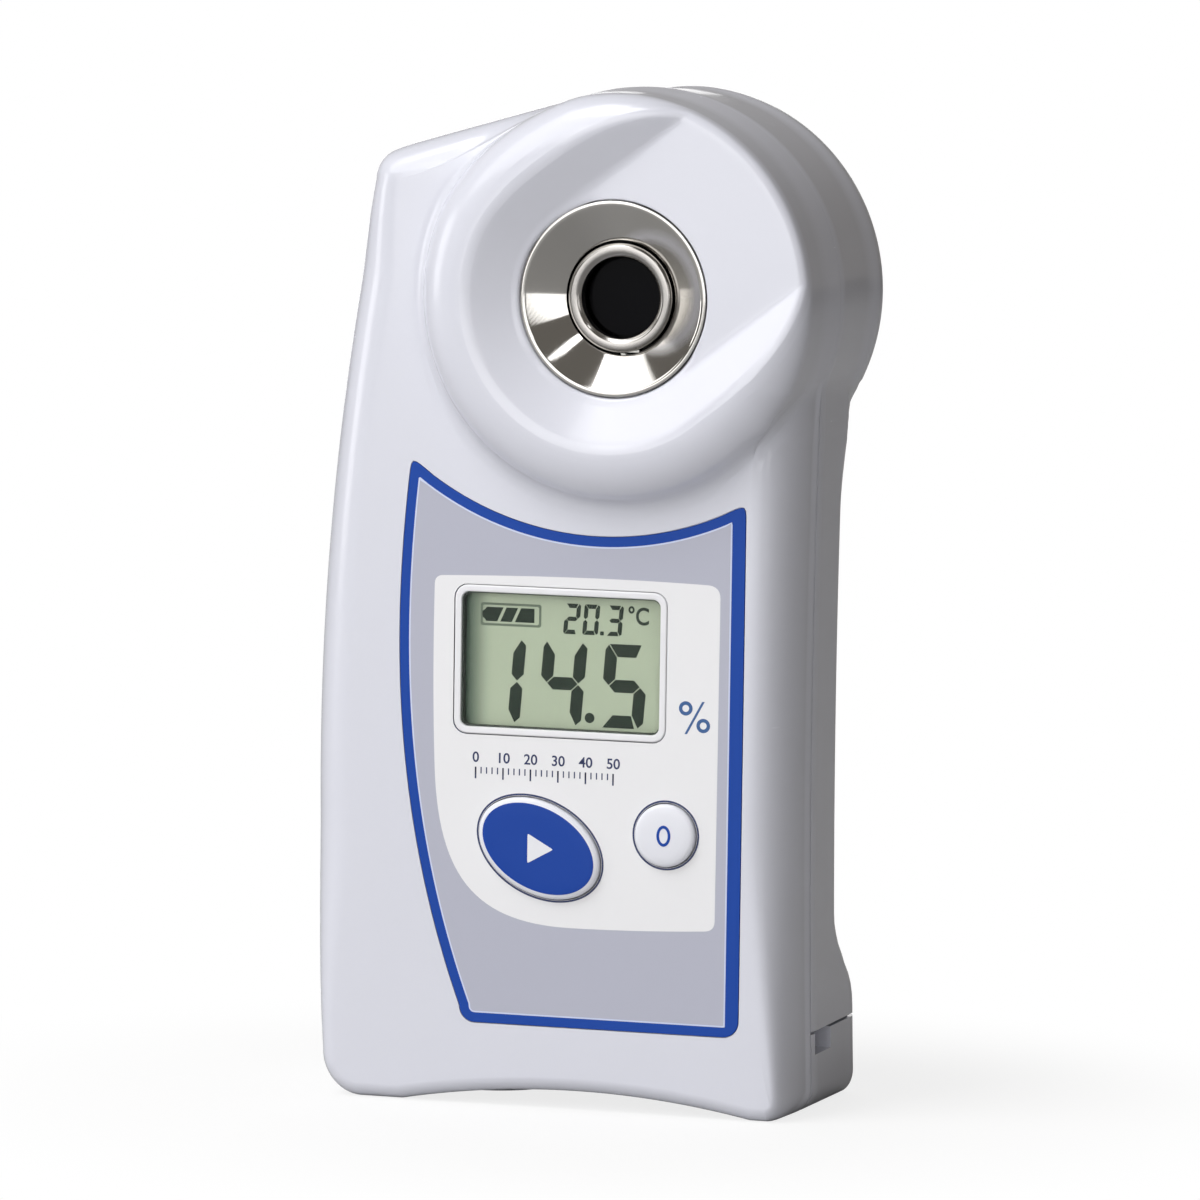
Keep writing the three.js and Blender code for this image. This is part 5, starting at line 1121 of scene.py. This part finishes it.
# %% [markdown]
# ### The lock knob and the rear plate
# A knob in the foot holds the cap. It is a disc with a slot for a coin, on a shaft that
# carries a small cam. It is turned as one closed profile, and the slot is cut out. The
# rear plate is a thin film with round corners, left blank inside its printed line.

# %% Lock knob
KNOB_TOP, SHAFT_RADIUS, SHAFT_TOP = 2.1, 1.9, 6.2
BORE_LOW, MARK_DEPTH, COIN_DEPTH = 2.3, 0.3, 1.1
knob_profile = [(6.5, 0.0), (6.95, 0.08), (7.12, 0.24), (KNOB_RADIUS, 0.5), (KNOB_RADIUS, KNOB_TOP),
                (SHAFT_RADIUS, KNOB_TOP), (SHAFT_RADIUS, SHAFT_TOP)]
knob = turned_up("lock_knob_disc", knob_profile, *KNOB, sides=96)
coin_line = rounded_box(*KNOB, 11.0, 1.7, 0.8)
coin_rings = [[(x, y, z) for x, y in coin_line] for z in (-1, COIN_DEPTH)]
coin_slot = rings_object("coin_slot", coin_rings, ends="flat")
screw_bore = hole_up(1.2, SHAFT_TOP + 2, *KNOB, sides=32, bottom=BORE_LOW)
turn_mark = hole_up(0.5, MARK_DEPTH, KNOB[0] + 4.6, KNOB[1] + 3.4, sides=24)
combine(knob, [coin_slot, screw_bore, turn_mark])
settle(knob, "lock_knob", case_white, ["lock_knob"], angle=32)

# %% Rear plate
PLATE_FRONT, PLATE_BACK = 9.15, 9.5
BORDER_INSET, BORDER_LINE = 1.2, 0.3
film_line = rounded_box(-PLATE[0], PLATE[1], *PLATE_SIZE, 1.4)
rear_film = plate("rear_plate_film", film_line, -PLATE_BACK, -PLATE_FRONT, bevel=0.06)
rear_film.data.transform(Matrix.Rotation(math.pi, 4, "Z"))
settle(rear_film, "case", plate_film, ["rear_plate"])
border = rounded_box(*PLATE, *[size - 2 * BORDER_INSET for size in PLATE_SIZE], 0.8)
border_inside = shrink(border, BORDER_LINE)
rear_line = hoop("rear_plate_line", border, border_inside, PLATE_BACK - 0.1, PLATE_BACK + PRINT_RISE)
settle(rear_line, "case", line_dark)

# %% [markdown]
# ## The steel stage
# The stage is turned from stainless steel: a bright rim, a polished cone that gathers
# the drop, and a small collar that holds the prism. Its mirror finish shows as sharp
# light and dark wedges, so the profile has fine rounded edges and many sides.

# %% Cone, collar and prism
def rounded_profile(points, radii, steps=4):
    made = []
    for i, (point, radius) in enumerate(zip(points, radii)):
        before, after = np.array(points[i - 1], float), np.array(points[(i + 1) % len(points)], float)
        here = np.array(point, float)
        if radius <= 0:
            made.append(tuple(here))
            continue
        a = here + (before - here) / np.linalg.norm(before - here) * radius
        b = here + (after - here) / np.linalg.norm(after - here) * radius
        for t in between(0, 1, steps):
            made.append(tuple(a * (1 - t) ** 2 + 2 * here * t * (1 - t) + b * t ** 2))
    return made


cone_profile = rounded_profile(
    [(6.1, -10.3), (9.86, -13.0), (10.36, -13.0), (10.36, -12.0), (8.9, -12.0), (8.9, -7.6), (6.1, -7.6)],
    [0.0, 0.18, 0.1, 0.0, 0.0, 0.0, 0.0])
stage = turned("stage_cone", cone_profile, HEAD_X, HEAD_Z, sides=160, loop=True)
settle(stage, "case", cone_steel, ["stage_ring"], weighted=False)
collar_profile = rounded_profile(
    [(4.33, -10.45), (4.78, -10.8), (5.5, -10.8), (5.8, -10.5), (5.8, -7.35), (4.33, -7.35)],
    [0.12, 0.16, 0.12, 0.1, 0.0, 0.0])
collar = turned("prism_collar_ring", collar_profile, HEAD_X, HEAD_Z, sides=128, loop=True)
settle(collar, "case", collar_steel, ["prism_collar"], weighted=False)

# %% [markdown]
# ## The printed label
# The label is one film with its colours printed side by side: a blue border, a thin
# pale line, a grey field and a white field round the display and the keys. The prints
# are thin plates that rise by hundredths of a millimetre, so they never share a plane.
# The places of the maker's texts stay bare.

# %% Print the label
FILM_FRONT, FILM_BACK = -11.14, -10.7
BORDER_WIDTH, PALE_WIDTH = 1.05, 0.17
LINE_ROOM, LINE_WIDTH, WIDER_RIGHT = 0.04, 0.2, 0.4


def film(name, points, rise, material, holes=True, bevel=0.0, cutters=()):
    """One colour of the label. Each rises a little more than the one under it."""
    piece = plate(name, points, FILM_FRONT - rise, FILM_BACK, bevel)
    combine(piece, (front_openings(*THROUGH, 0.05) if holes else []) + list(cutters))
    settle(piece, "case", material, ["label_overlay"])
    return piece


def white_field():
    top = bezier([(-12.8, 56.7), (-2.5, 57.1), (7.5, 57.2), (16.9, 56.9)], 12)
    corner = bezier([(16.9, 56.9), (17.8, 56.85), (18.3, 56.4), (18.3, 55.5)], 8)
    foot_corner = bezier([(18.2, 21.2), (18.2, 20.5), (17.8, 20.1), (17.0, 20.07)], 6)
    foot = bezier([(17.0, 20.07), (12.0, 19.75), (7.0, 19.6), (2.1, 19.6)], 10)
    sweep = bezier([(2.1, 19.6), (-9.0, 19.6), (-13.2, 24.5), (-13.6, 37.0)], 30)
    side = bezier([(-13.6, 37.0), (-13.85, 43.0), (-13.9, 50.0), (-13.8, 55.8)], 10)
    turn_in = bezier([(-13.8, 55.8), (-13.8, 56.4), (-13.4, 56.7), (-12.8, 56.7)], 6)
    return top[:-1] + corner + foot_corner + foot[1:-1] + sweep[:-1] + side[:-1] + turn_in[:-1]


def inner_label(inset):
    """The label's outline moved in. The border is wider along the right side."""
    limit = LABEL_RIGHT - inset - WIDER_RIGHT
    return [(min(x, limit), z) for x, z in shrink(label, inset)]


def key_line(name, shape):
    """A fine printed line round a key's opening."""
    room = KEY_GAP + LINE_ROOM
    inside = plate("line_inside", shape(room), *THROUGH)
    film(name, shape(room + LINE_WIDTH), 4 * PRINT_RISE, line_dark, holes=False, cutters=[inside])


film("label_border", label, 0.0, label_blue, bevel=0.05)
film("label_line", inner_label(BORDER_WIDTH), PRINT_RISE, line_pale)
film("label_field", inner_label(BORDER_WIDTH + PALE_WIDTH), 2 * PRINT_RISE, label_grey)
film("label_panel", white_field(), 3 * PRINT_RISE, label_white)
key_line("start_outline", start_shape)
key_line("zero_outline", zero_shape)

# %% [markdown]
# ### The printed scale
# Between the display and the keys the label carries a plain number line. Its ticks are
# the same small bar again and again, which is work for Geometry Nodes: a line of points,
# a bar on each, and every fifth bar longer. The tree's inputs are the sizes of the scale.

# %% Helpers for node trees
def start_tree(name):
    tree = bpy.data.node_groups.new(name, "GeometryNodeTree")
    tree.interface.new_socket(name="Geometry", in_out="OUTPUT", socket_type="NodeSocketGeometry")
    return tree, tree.nodes.new("NodeGroupInput"), tree.nodes.new("NodeGroupOutput")


def finish_tree(tree, geometry, sink, material):
    """Realize Instances and Set Material close every tree."""
    real = add_node(tree, "GeometryNodeRealizeInstances", {0: geometry})
    painted = add_node(tree, "GeometryNodeSetMaterial", {"Geometry": real.outputs[0], "Material": material})
    feed(sink, {0: painted.outputs[0]})


def through_tree(piece, tree, values):
    """What a node tree makes of a piece, with the modifier gone."""
    modifier = piece.modifiers.new("nodes", "NODES")
    modifier.node_group = tree
    for identifier, value in values.items():
        modifier[identifier] = value
    return plain_mesh(piece)


# %% A node tree for the ticks of the scale
SCALE_LEFT, SCALE_LOW, TICK_PITCH, TICKS = -8.9, 36.35, 0.62, 26
TICKS_PER_NUMBER = 5
TICK_Y, TICK_THICKNESS = FILM_FRONT - 0.052, 0.08
ticks, source, sink = start_tree("scale_ticks")
both = add_node(ticks, "GeometryNodeJoinGeometry")
tick_ids = {}
for kind, count, pitch, width, height in (
        ("Short", TICKS, TICK_PITCH, 0.13, 0.7),
        ("Long", TICKS // TICKS_PER_NUMBER + 1, TICK_PITCH * TICKS_PER_NUMBER, 0.17, 1.25)):
    tick_ids[kind] = tree_input(ticks, kind + " ticks", "Int", count)
    tree_input(ticks, kind + " pitch", "Float", pitch * MM)
    start = tuple(c * MM for c in (SCALE_LEFT, TICK_Y + TICK_THICKNESS / 2, SCALE_LOW - height / 2))
    step = add_node(ticks, "ShaderNodeCombineXYZ", {"X": source.outputs[kind + " pitch"]})
    line = add_node(ticks, "GeometryNodeMeshLine", {
        "Count": source.outputs[kind + " ticks"], "Start Location": start, "Offset": step.outputs[0]})
    size = tuple(c * MM for c in (width, TICK_THICKNESS, height))
    tick = add_node(ticks, "GeometryNodeMeshCube", {"Size": size})
    row = add_node(ticks, "GeometryNodeInstanceOnPoints", {
        "Points": line.outputs[0], "Instance": tick.outputs[0]})
    feed(both, {0: row.outputs[0]})
finish_tree(ticks, both.outputs[0], sink, line_dark)
scale_ticks = through_tree(mesh_object("scale_ticks", [], []), ticks, {tick_ids["Short"]: TICKS})
settle(scale_ticks, "case", line_dark, weighted=False)

# %% Numbers of the scale, and the unit sign
def text_plate(text, x, z, size, front, back, bold=0.0, squeeze=1.0):
    """Lettering as a thin plate that faces the front."""
    curve = bpy.data.curves.new("text", "FONT")
    curve.body, curve.size, curve.align_x, curve.align_y = text, size, "CENTER", "CENTER"
    curve.extrude, curve.offset = (back - front) / 2, bold
    piece = new_object("text", curve)
    bpy.context.view_layer.update()
    mesh = bpy.data.meshes.new_from_object(piece.evaluated_get(bpy.context.evaluated_depsgraph_get()))
    bpy.data.objects.remove(piece)
    mesh.transform(Matrix.Rotation(math.pi / 2, 4, "X"))
    mesh.transform(Matrix.Diagonal((MM * squeeze, MM, MM, 1)))
    mesh.transform(Matrix.Translation(Vector((x, (front + back) / 2, z)) * MM))
    return new_object("text", mesh)


def join_pieces(name, pieces):
    built = bmesh.new()
    for piece in pieces:
        built.from_mesh(piece.data)
        bpy.data.objects.remove(piece)
    mesh = bpy.data.meshes.new(name)
    bmesh.ops.remove_doubles(built, verts=built.verts, dist=1e-8)
    built.to_mesh(mesh)
    built.free()
    return new_object(name, mesh)


PRINTED = (TICK_Y, TICK_Y + TICK_THICKNESS)
NUMBER_RISE, NUMBER_SIZE, NUMBER_BOLD = 1.0, 1.55, 0.02
numbers = []
for k in range(TICKS // TICKS_PER_NUMBER + 1):
    x = SCALE_LEFT + TICKS_PER_NUMBER * TICK_PITCH * k
    numbers.append(text_plate(str(10 * k), x, SCALE_LOW + NUMBER_RISE, NUMBER_SIZE, *PRINTED, NUMBER_BOLD))
scale_numbers = join_pieces("scale_numbers", numbers)
settle(scale_numbers, "case", line_dark, weighted=False)

SIGN_OUTER, SIGN_INNER, SIGN_RINGS = 0.76, 0.38, ((14.62, 43.73), (16.60, 41.95))
SIGN_STROKE = [(14.52, 41.0), (14.80, 41.0), (16.72, 44.5), (16.44, 44.5)]
percent = []
for x, z in SIGN_RINGS:
    outer, inner = (round_line(x, z, radius, 40) for radius in (SIGN_OUTER, SIGN_INNER))
    percent.append(hoop("nought", outer, inner, *PRINTED))
percent.append(plate("stroke", SIGN_STROKE, *PRINTED))
percent_sign = join_pieces("percent_sign", percent)
settle(percent_sign, "case", sign_blue, weighted=False)

# %% [markdown]
# ## Display
# A raised frame with round corners holds a clear window. Behind it the walls are lined
# with a near-black liner, which is painted shade for the recess, and the display glass lies
# at their foot with its dark segments and a painted shade along its left edge. The frame is
# one rounded box with a well cut into it, and a flange keeps it behind the wall of the case.

# %% Frame and window
RIM, OPENING_CORNER, PANE_ROOM, LINER_WIDTH = 0.78, 0.85, 0.02, 0.12
BEZEL_FRONT, FLANGE_FRONT, FLANGE_BACK = -11.2, -9.25, -8.65
WINDOW_FRONT, WINDOW_BACK, GLASS_Y = -11.05, -10.72, -9.8
WELL = [(0.16, -12.0), (0.16, BEZEL_FRONT), (0.05, -11.16), (0.0, -11.06), (0.0, -10.68), (-0.1, -9.0)]
GLASS_ROOM = (23.1, 15.24)


def opening(more):
    return display_shape(more - RIM, OPENING_CORNER)


bezel = plate("display_bezel", display_shape(), BEZEL_FRONT, FLANGE_FRONT, bevel=0.22, steps=4)
flange = plate("bezel_flange", display_shape(1.0, 1.0), FLANGE_FRONT, FLANGE_BACK)
back_room = plate("back_room", rounded_box(*DISPLAY, *GLASS_ROOM, 0.3), GLASS_Y - 0.03, FLANGE_BACK + 0.65)
combine(bezel, [flange], "UNION")
combine(bezel, [stepped("bezel_well", opening, WELL), back_room])
settle(bezel, "case", bezel_white, ["display_frame"], angle=28)
window = plate("display_window_pane", opening(-PANE_ROOM), WINDOW_FRONT, WINDOW_BACK, bevel=0.04)
settle(window, "case", window_clear, ["display_window"])
# The dark liner on the well's walls is painted shade: it stands in for the shade inside the recess.
liner = hoop("display_liner", opening(-PANE_ROOM), opening(-PANE_ROOM - LINER_WIDTH), WINDOW_BACK + 0.03,
             GLASS_Y - 0.02)
settle(liner, "case", recess_shade_dark)

# %% [markdown]
# ### Numbers and signs
# A liquid crystal number is drawn from seven bars, with slanted ends so that they meet
# at a hair's width. One function draws a digit from the names of its lit bars, and the
# same function makes the large number and the small one.

# %% Seven bars for a digit
SLANT = 0.08
LIT = {"0": "abcdef", "1": "bc", "2": "abged", "3": "abgcd", "4": "fgbc", "5": "afgcd"}


def bar_shapes(width, height, bar, gap):
    """The seven bars of a digit: mitred at its corners and pointed at its middle."""
    half, near = height / 2, bar / 2 + gap
    left, right, low, high = bar + gap, width - bar - gap, half - bar / 2, half + bar / 2
    flat = [(0.25 * bar + gap, height), (width - 0.65 * bar - gap, height), (right, height - bar),
            (left, height - bar)]
    middle = [(near, half), (left, high), (right, high), (width - near, half), (right, low), (left, low)]

    def post(tip):
        return [(0, height - 0.45 * bar), (tip * bar, height - gap), (bar, height - bar - gap),
                (bar, half + near), (bar / 2, half + gap), (0, half + near)]

    def across(points):
        return [(width - x, z) for x, z in points]

    def over(points):
        return [(x, height - z) for x, z in points]

    return {"a": flat, "b": across(post(0.42)), "c": over(across(post(0.42))), "d": over(flat),
            "e": over(post(0.25)), "f": post(0.25), "g": middle}


def digit_bars(text, x, z, width, height, bar, gap):
    shapes = bar_shapes(width, height, bar, gap)
    return [[(x + px + SLANT * pz, z + pz) for px, pz in shapes[name]] for name in LIT[text]]


# %% The number, the temperature and the battery sign
INK_FRONT, INK_BACK = GLASS_Y - 0.03, GLASS_Y + 0.2
LARGE = {"z": 41.1, "width": 4.93, "height": 8.95, "bar": 1.36, "gap": 0.075}
SMALL = {"z": 50.9, "width": 1.75, "height": 3.25, "bar": 0.46, "gap": 0.035}
DIGITS = [("1", -9.43, LARGE), ("4", -2.52, LARGE), ("5", 4.45, LARGE),
          ("2", 0.3, SMALL), ("0", 2.45, SMALL), ("3", 5.1, SMALL)]
BATTERY, BATTERY_SIZE, BATTERY_LINE = (-5.6, 52.64), (6.85, 2.45), 0.25
CHARGE_LOW, CHARGE_HIGH = 51.88, 53.4
DEGREES, DEGREES_SIZE, DEGREES_BOLD = (8.75, 53.02), 2.6, 0.045
ink = [points for text, x, sizes in DIGITS for points in digit_bars(text, x, **sizes)]
ink.append(round_line(3.42, 42.04, 0.55, 24))
ink.append(rounded_box(4.68, 51.12, 0.42, 0.42, 0.08, 2))
ink.append([(-8.85, 52.36), (-8.5, 52.1), (-8.4, CHARGE_LOW), (-7.15, CHARGE_LOW), (-6.45, CHARGE_HIGH),
            (-8.3, CHARGE_HIGH), (-8.5, 53.15), (-8.85, 52.9)])
for low_left, low_right, high_right, high_left in ((-6.8, -5.5, -4.8, -6.1), (-5.15, -2.95, -2.95, -4.45)):
    ink.append([(low_left, CHARGE_LOW), (low_right, CHARGE_LOW), (high_right, CHARGE_HIGH),
                (high_left, CHARGE_HIGH)])
segments = [plate("ink", points, INK_FRONT, INK_BACK) for points in ink]
segments.append(text_plate("\u00b0C", *DEGREES, DEGREES_SIZE, INK_FRONT, INK_BACK, DEGREES_BOLD, squeeze=0.86))
display_segments = join_pieces("display_segments", segments)
settle(display_segments, "case", segment_ink, weighted=False)
outer = rounded_box(*BATTERY, *BATTERY_SIZE, 0.25)
inner = rounded_box(*BATTERY, *[size - 2 * BATTERY_LINE for size in BATTERY_SIZE], 0.2)
battery_frame = hoop("battery_sign_frame", outer, inner, INK_FRONT, INK_BACK)
settle(battery_frame, "case", segment_faint)

# %% [markdown]
# ## The keys
# The start key is a tilted ellipse and the zero key a disc. Both are pushed straight in,
# so each is one closed moulding with a soft crown and a flange behind the case's wall.
# The signs are thin plates that ride with their key: a plain arrow head to start, and a
# nought to set zero.

# %% Start key and zero key
KEY_TOP, KEY_BACK = -11.95, -8.45
KEY_FLANGE = [(0.75, -9.0), (0.75, KEY_BACK)]
CROWN = [(2.6, 0.0), (1.2, 0.02), (0.5, 0.08), (0.22, 0.17), (0.07, 0.3), (0.0, 0.48), (0.0, 2.95)]
FACE_CROWN = [(1.95, -0.012), (0.9, 0.003), (0.55, 0.038), (0.55, 0.25)]


def key_depths(crown):
    """The crown of a key, given as how far in and how far below its top."""
    return [(-inset, KEY_TOP + drop) for inset, drop in crown]


for key, shape, slot in (("start", start_shape, "key_blue"), ("zero", zero_shape, "key_white")):
    moulding = stepped(key + "_key", shape, key_depths(CROWN) + KEY_FLANGE)
    settle(moulding, key + "_button", key_white, [key + "_button"], angle=50)
face = stepped("start_face", start_shape, key_depths(FACE_CROWN))
settle(face, "start_button", key_blue)

# %% Signs on the keys
SIGN_DEPTH, NOUGHT_OUTER, NOUGHT_INNER = (KEY_TOP - 0.03, KEY_TOP + 0.2), (0.78, 1.12), (0.48, 0.80)
HEAD_LEFT, HEAD_TIP, HEAD_HALF = START[0] - 1.15, START[0] + 1.75, 1.6
arrow_head = [(HEAD_LEFT, START[1] - HEAD_HALF), (HEAD_TIP, START[1]), (HEAD_LEFT, START[1] + HEAD_HALF)]
for corner in (2, 1, 0):
    arrow_head = eased_corner(arrow_head, corner, 0.4, steps=4)
settle(plate("start_sign", arrow_head, *SIGN_DEPTH), "start_button", print_white)
outer, inner = (ellipse(*ZERO, *halves, sides=48) for halves in (NOUGHT_OUTER, NOUGHT_INNER))
settle(hoop("zero_sign", outer, inner, *SIGN_DEPTH), "zero_button", label_blue)

# %% [markdown]
# ### Springs and screws
# Inside the case the same small parts come back: two coiled contact springs for the
# cells, four pan head screws that hold the case halves and two that hold the optics. A
# spiral with a round wire along it makes a spring. One screw is modelled, with its thread
# and cross recess, and a node tree puts it at each of its places.

# %% Contact springs
SPRING_RADIUS, SPRING_WIRE, WIRE_SHARE = 2.1, 0.3, 0.95
SPIRAL_STEPS, WIRE_SIDES = 40, 12
coil, source, sink = start_tree("contact_coil")
coil_turns = tree_input(coil, "Turns", "Float", 3.0)
coil_height = tree_input(coil, "Height", "Float", 1.8 * MM)
coil_foot = tree_input(coil, "Foot", "Vector", (0, 0, 0))
spiral = add_node(coil, "GeometryNodeCurveSpiral", {
    "Resolution": SPIRAL_STEPS, "Start Radius": SPRING_RADIUS * MM, "End Radius": SPRING_RADIUS * MM,
    "Rotations": source.outputs["Turns"], "Height": source.outputs["Height"]})
wire = add_node(coil, "GeometryNodeCurvePrimitiveCircle", {
    "Resolution": WIRE_SIDES, "Radius": WIRE_SHARE * SPRING_WIRE * MM})
swept = add_node(coil, "GeometryNodeCurveToMesh", {
    "Curve": spiral.outputs[0], "Profile Curve": wire.outputs[0], "Fill Caps": True})
moved = add_node(coil, "GeometryNodeTransform", {
    "Geometry": swept.outputs[0], "Translation": source.outputs["Foot"]})
finish_tree(coil, moved.outputs[0], sink, plated_steel)


def spring(name, node, body, turns):
    low, high = low_high(node)
    foot = [(low[0] + high[0]) / 2 * MM, (low[1] + high[1]) / 2 * MM, (low[2] + SPRING_WIRE) * MM]
    values = {coil_turns: float(turns), coil_height: (high[2] - low[2] - 2 * SPRING_WIRE) * MM, coil_foot: foot}
    piece = through_tree(mesh_object(name, [], []), coil, values)
    settle(piece, body, plated_steel, [node], angle=60)


spring("contact_coil_upper", "contact_spring", "case", 2)
spring("contact_coil_cap", "cap_contact_spring", "battery_cap", 3)

# %% Screws with a thread and a cross recess
HEAD_HEIGHT = 1.3
HEAD_ROUND = [(1.9, 0.0), (1.9, 0.5), (1.79, 0.85), (1.48, 1.12), (0.95, 1.26), (0.3, HEAD_HEIGHT)]
THREAD_PITCH, THREAD_CREST, THREAD_ROOT = 0.5, 1.0, 0.8
SCREW_TIP, TIP_RADIUS = 0.7, 0.2
CROSS_LONG, CROSS_THIN, CROSS_FLOOR, OVER_HEAD = 1.15, 0.24, 0.5, 2


def screw_model(length):
    profile = [(TIP_RADIUS, -length), (THREAD_ROOT, SCREW_TIP - length)]
    rise = SCREW_TIP - length + THREAD_PITCH / 2
    while rise < -THREAD_PITCH:
        profile += [(THREAD_CREST, rise), (THREAD_ROOT, rise + THREAD_PITCH / 2)]
        rise += THREAD_PITCH
    model = turned("screw_model", profile + [(THREAD_CREST, -0.2)] + HEAD_ROUND, 0, 0, sides=40)
    arms = [box_object("arm", (-a, CROSS_FLOOR, -b), (a, OVER_HEAD, b))
            for a, b in ((CROSS_LONG, CROSS_THIN), (CROSS_THIN, CROSS_LONG))]
    return combine(model, arms)


def screws(name, length, nodes_replaced):
    """The screw at the place of each CAD screw, by a node tree."""
    tree, source, sink = start_tree(name)
    tree.interface.new_socket(name="Places", in_out="INPUT", socket_type="NodeSocketGeometry")
    model_id = tree_input(tree, "Screw", "Object", None)
    info = add_node(tree, "GeometryNodeObjectInfo", {"Object": source.outputs["Screw"]})
    placed = add_node(tree, "GeometryNodeInstanceOnPoints", {
        "Points": source.outputs["Places"], "Instance": info.outputs["Geometry"]})
    finish_tree(tree, placed.outputs[0], sink, plated_steel)
    boxes = [low_high(node) for node in nodes_replaced]
    seats = [((low[0] + high[0]) / 2, high[1] - HEAD_HEIGHT, (low[2] + high[2]) / 2) for low, high in boxes]
    model = screw_model(length)
    piece = through_tree(mesh_object(name, seats, []), tree, {model_id: model})
    bpy.data.objects.remove(model)
    settle(piece, "case", plated_steel, nodes_replaced, angle=40)


CASE_SCREWS = ["case_screw_" + place for place in ("lower_left", "lower_right", "upper_right", "upper_left")]
screws("case_screws", 5.9, CASE_SCREWS)
screws("optics_screws", 6.9, ["optics_screw_lower", "optics_screw_upper"])

# %% [markdown]
# ### Finishes of the inner pieces
# The pieces inside keep the shape of the CAD solid and only get their finish: black
# mouldings, green boards, rubber seals, gold contacts, steel, foil and glass.

# %% Finish the pieces that come from the CAD
CARRIED = [
    (grey_rubber, "case_gasket cap_gasket stage_seal display_connector_upper display_connector_lower"),
    (black_moulding, "stage_nut optics_housing battery_tray start_switch zero_switch ribbon_socket"),
    (board_green, "main_board sensor_board lamp_board"),
    (chip_black, "processor_chip amplifier_chip image_sensor"),
    (gold_strip, "contact_plate cap_contact_plate"),
    (plated_steel, "temperature_probe lock_cam lock_screw oscillator"),
    (cell_foil, "battery_1 battery_2"),
    (ribbon_amber, "ribbon_cable"),
    (lamp_resin, "lamp"),
    (lens_glass, "focus_lens"),
    (prism_black, "prism"),
    (display_grey, "display_panel"),
]
for material, names in CARRIED:
    for name in names.split():
        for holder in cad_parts[name].material_slots:
            holder.link, holder.material = "OBJECT", material
print("finished", sum(len(names.split()) for _, names in CARRIED), "CAD pieces")
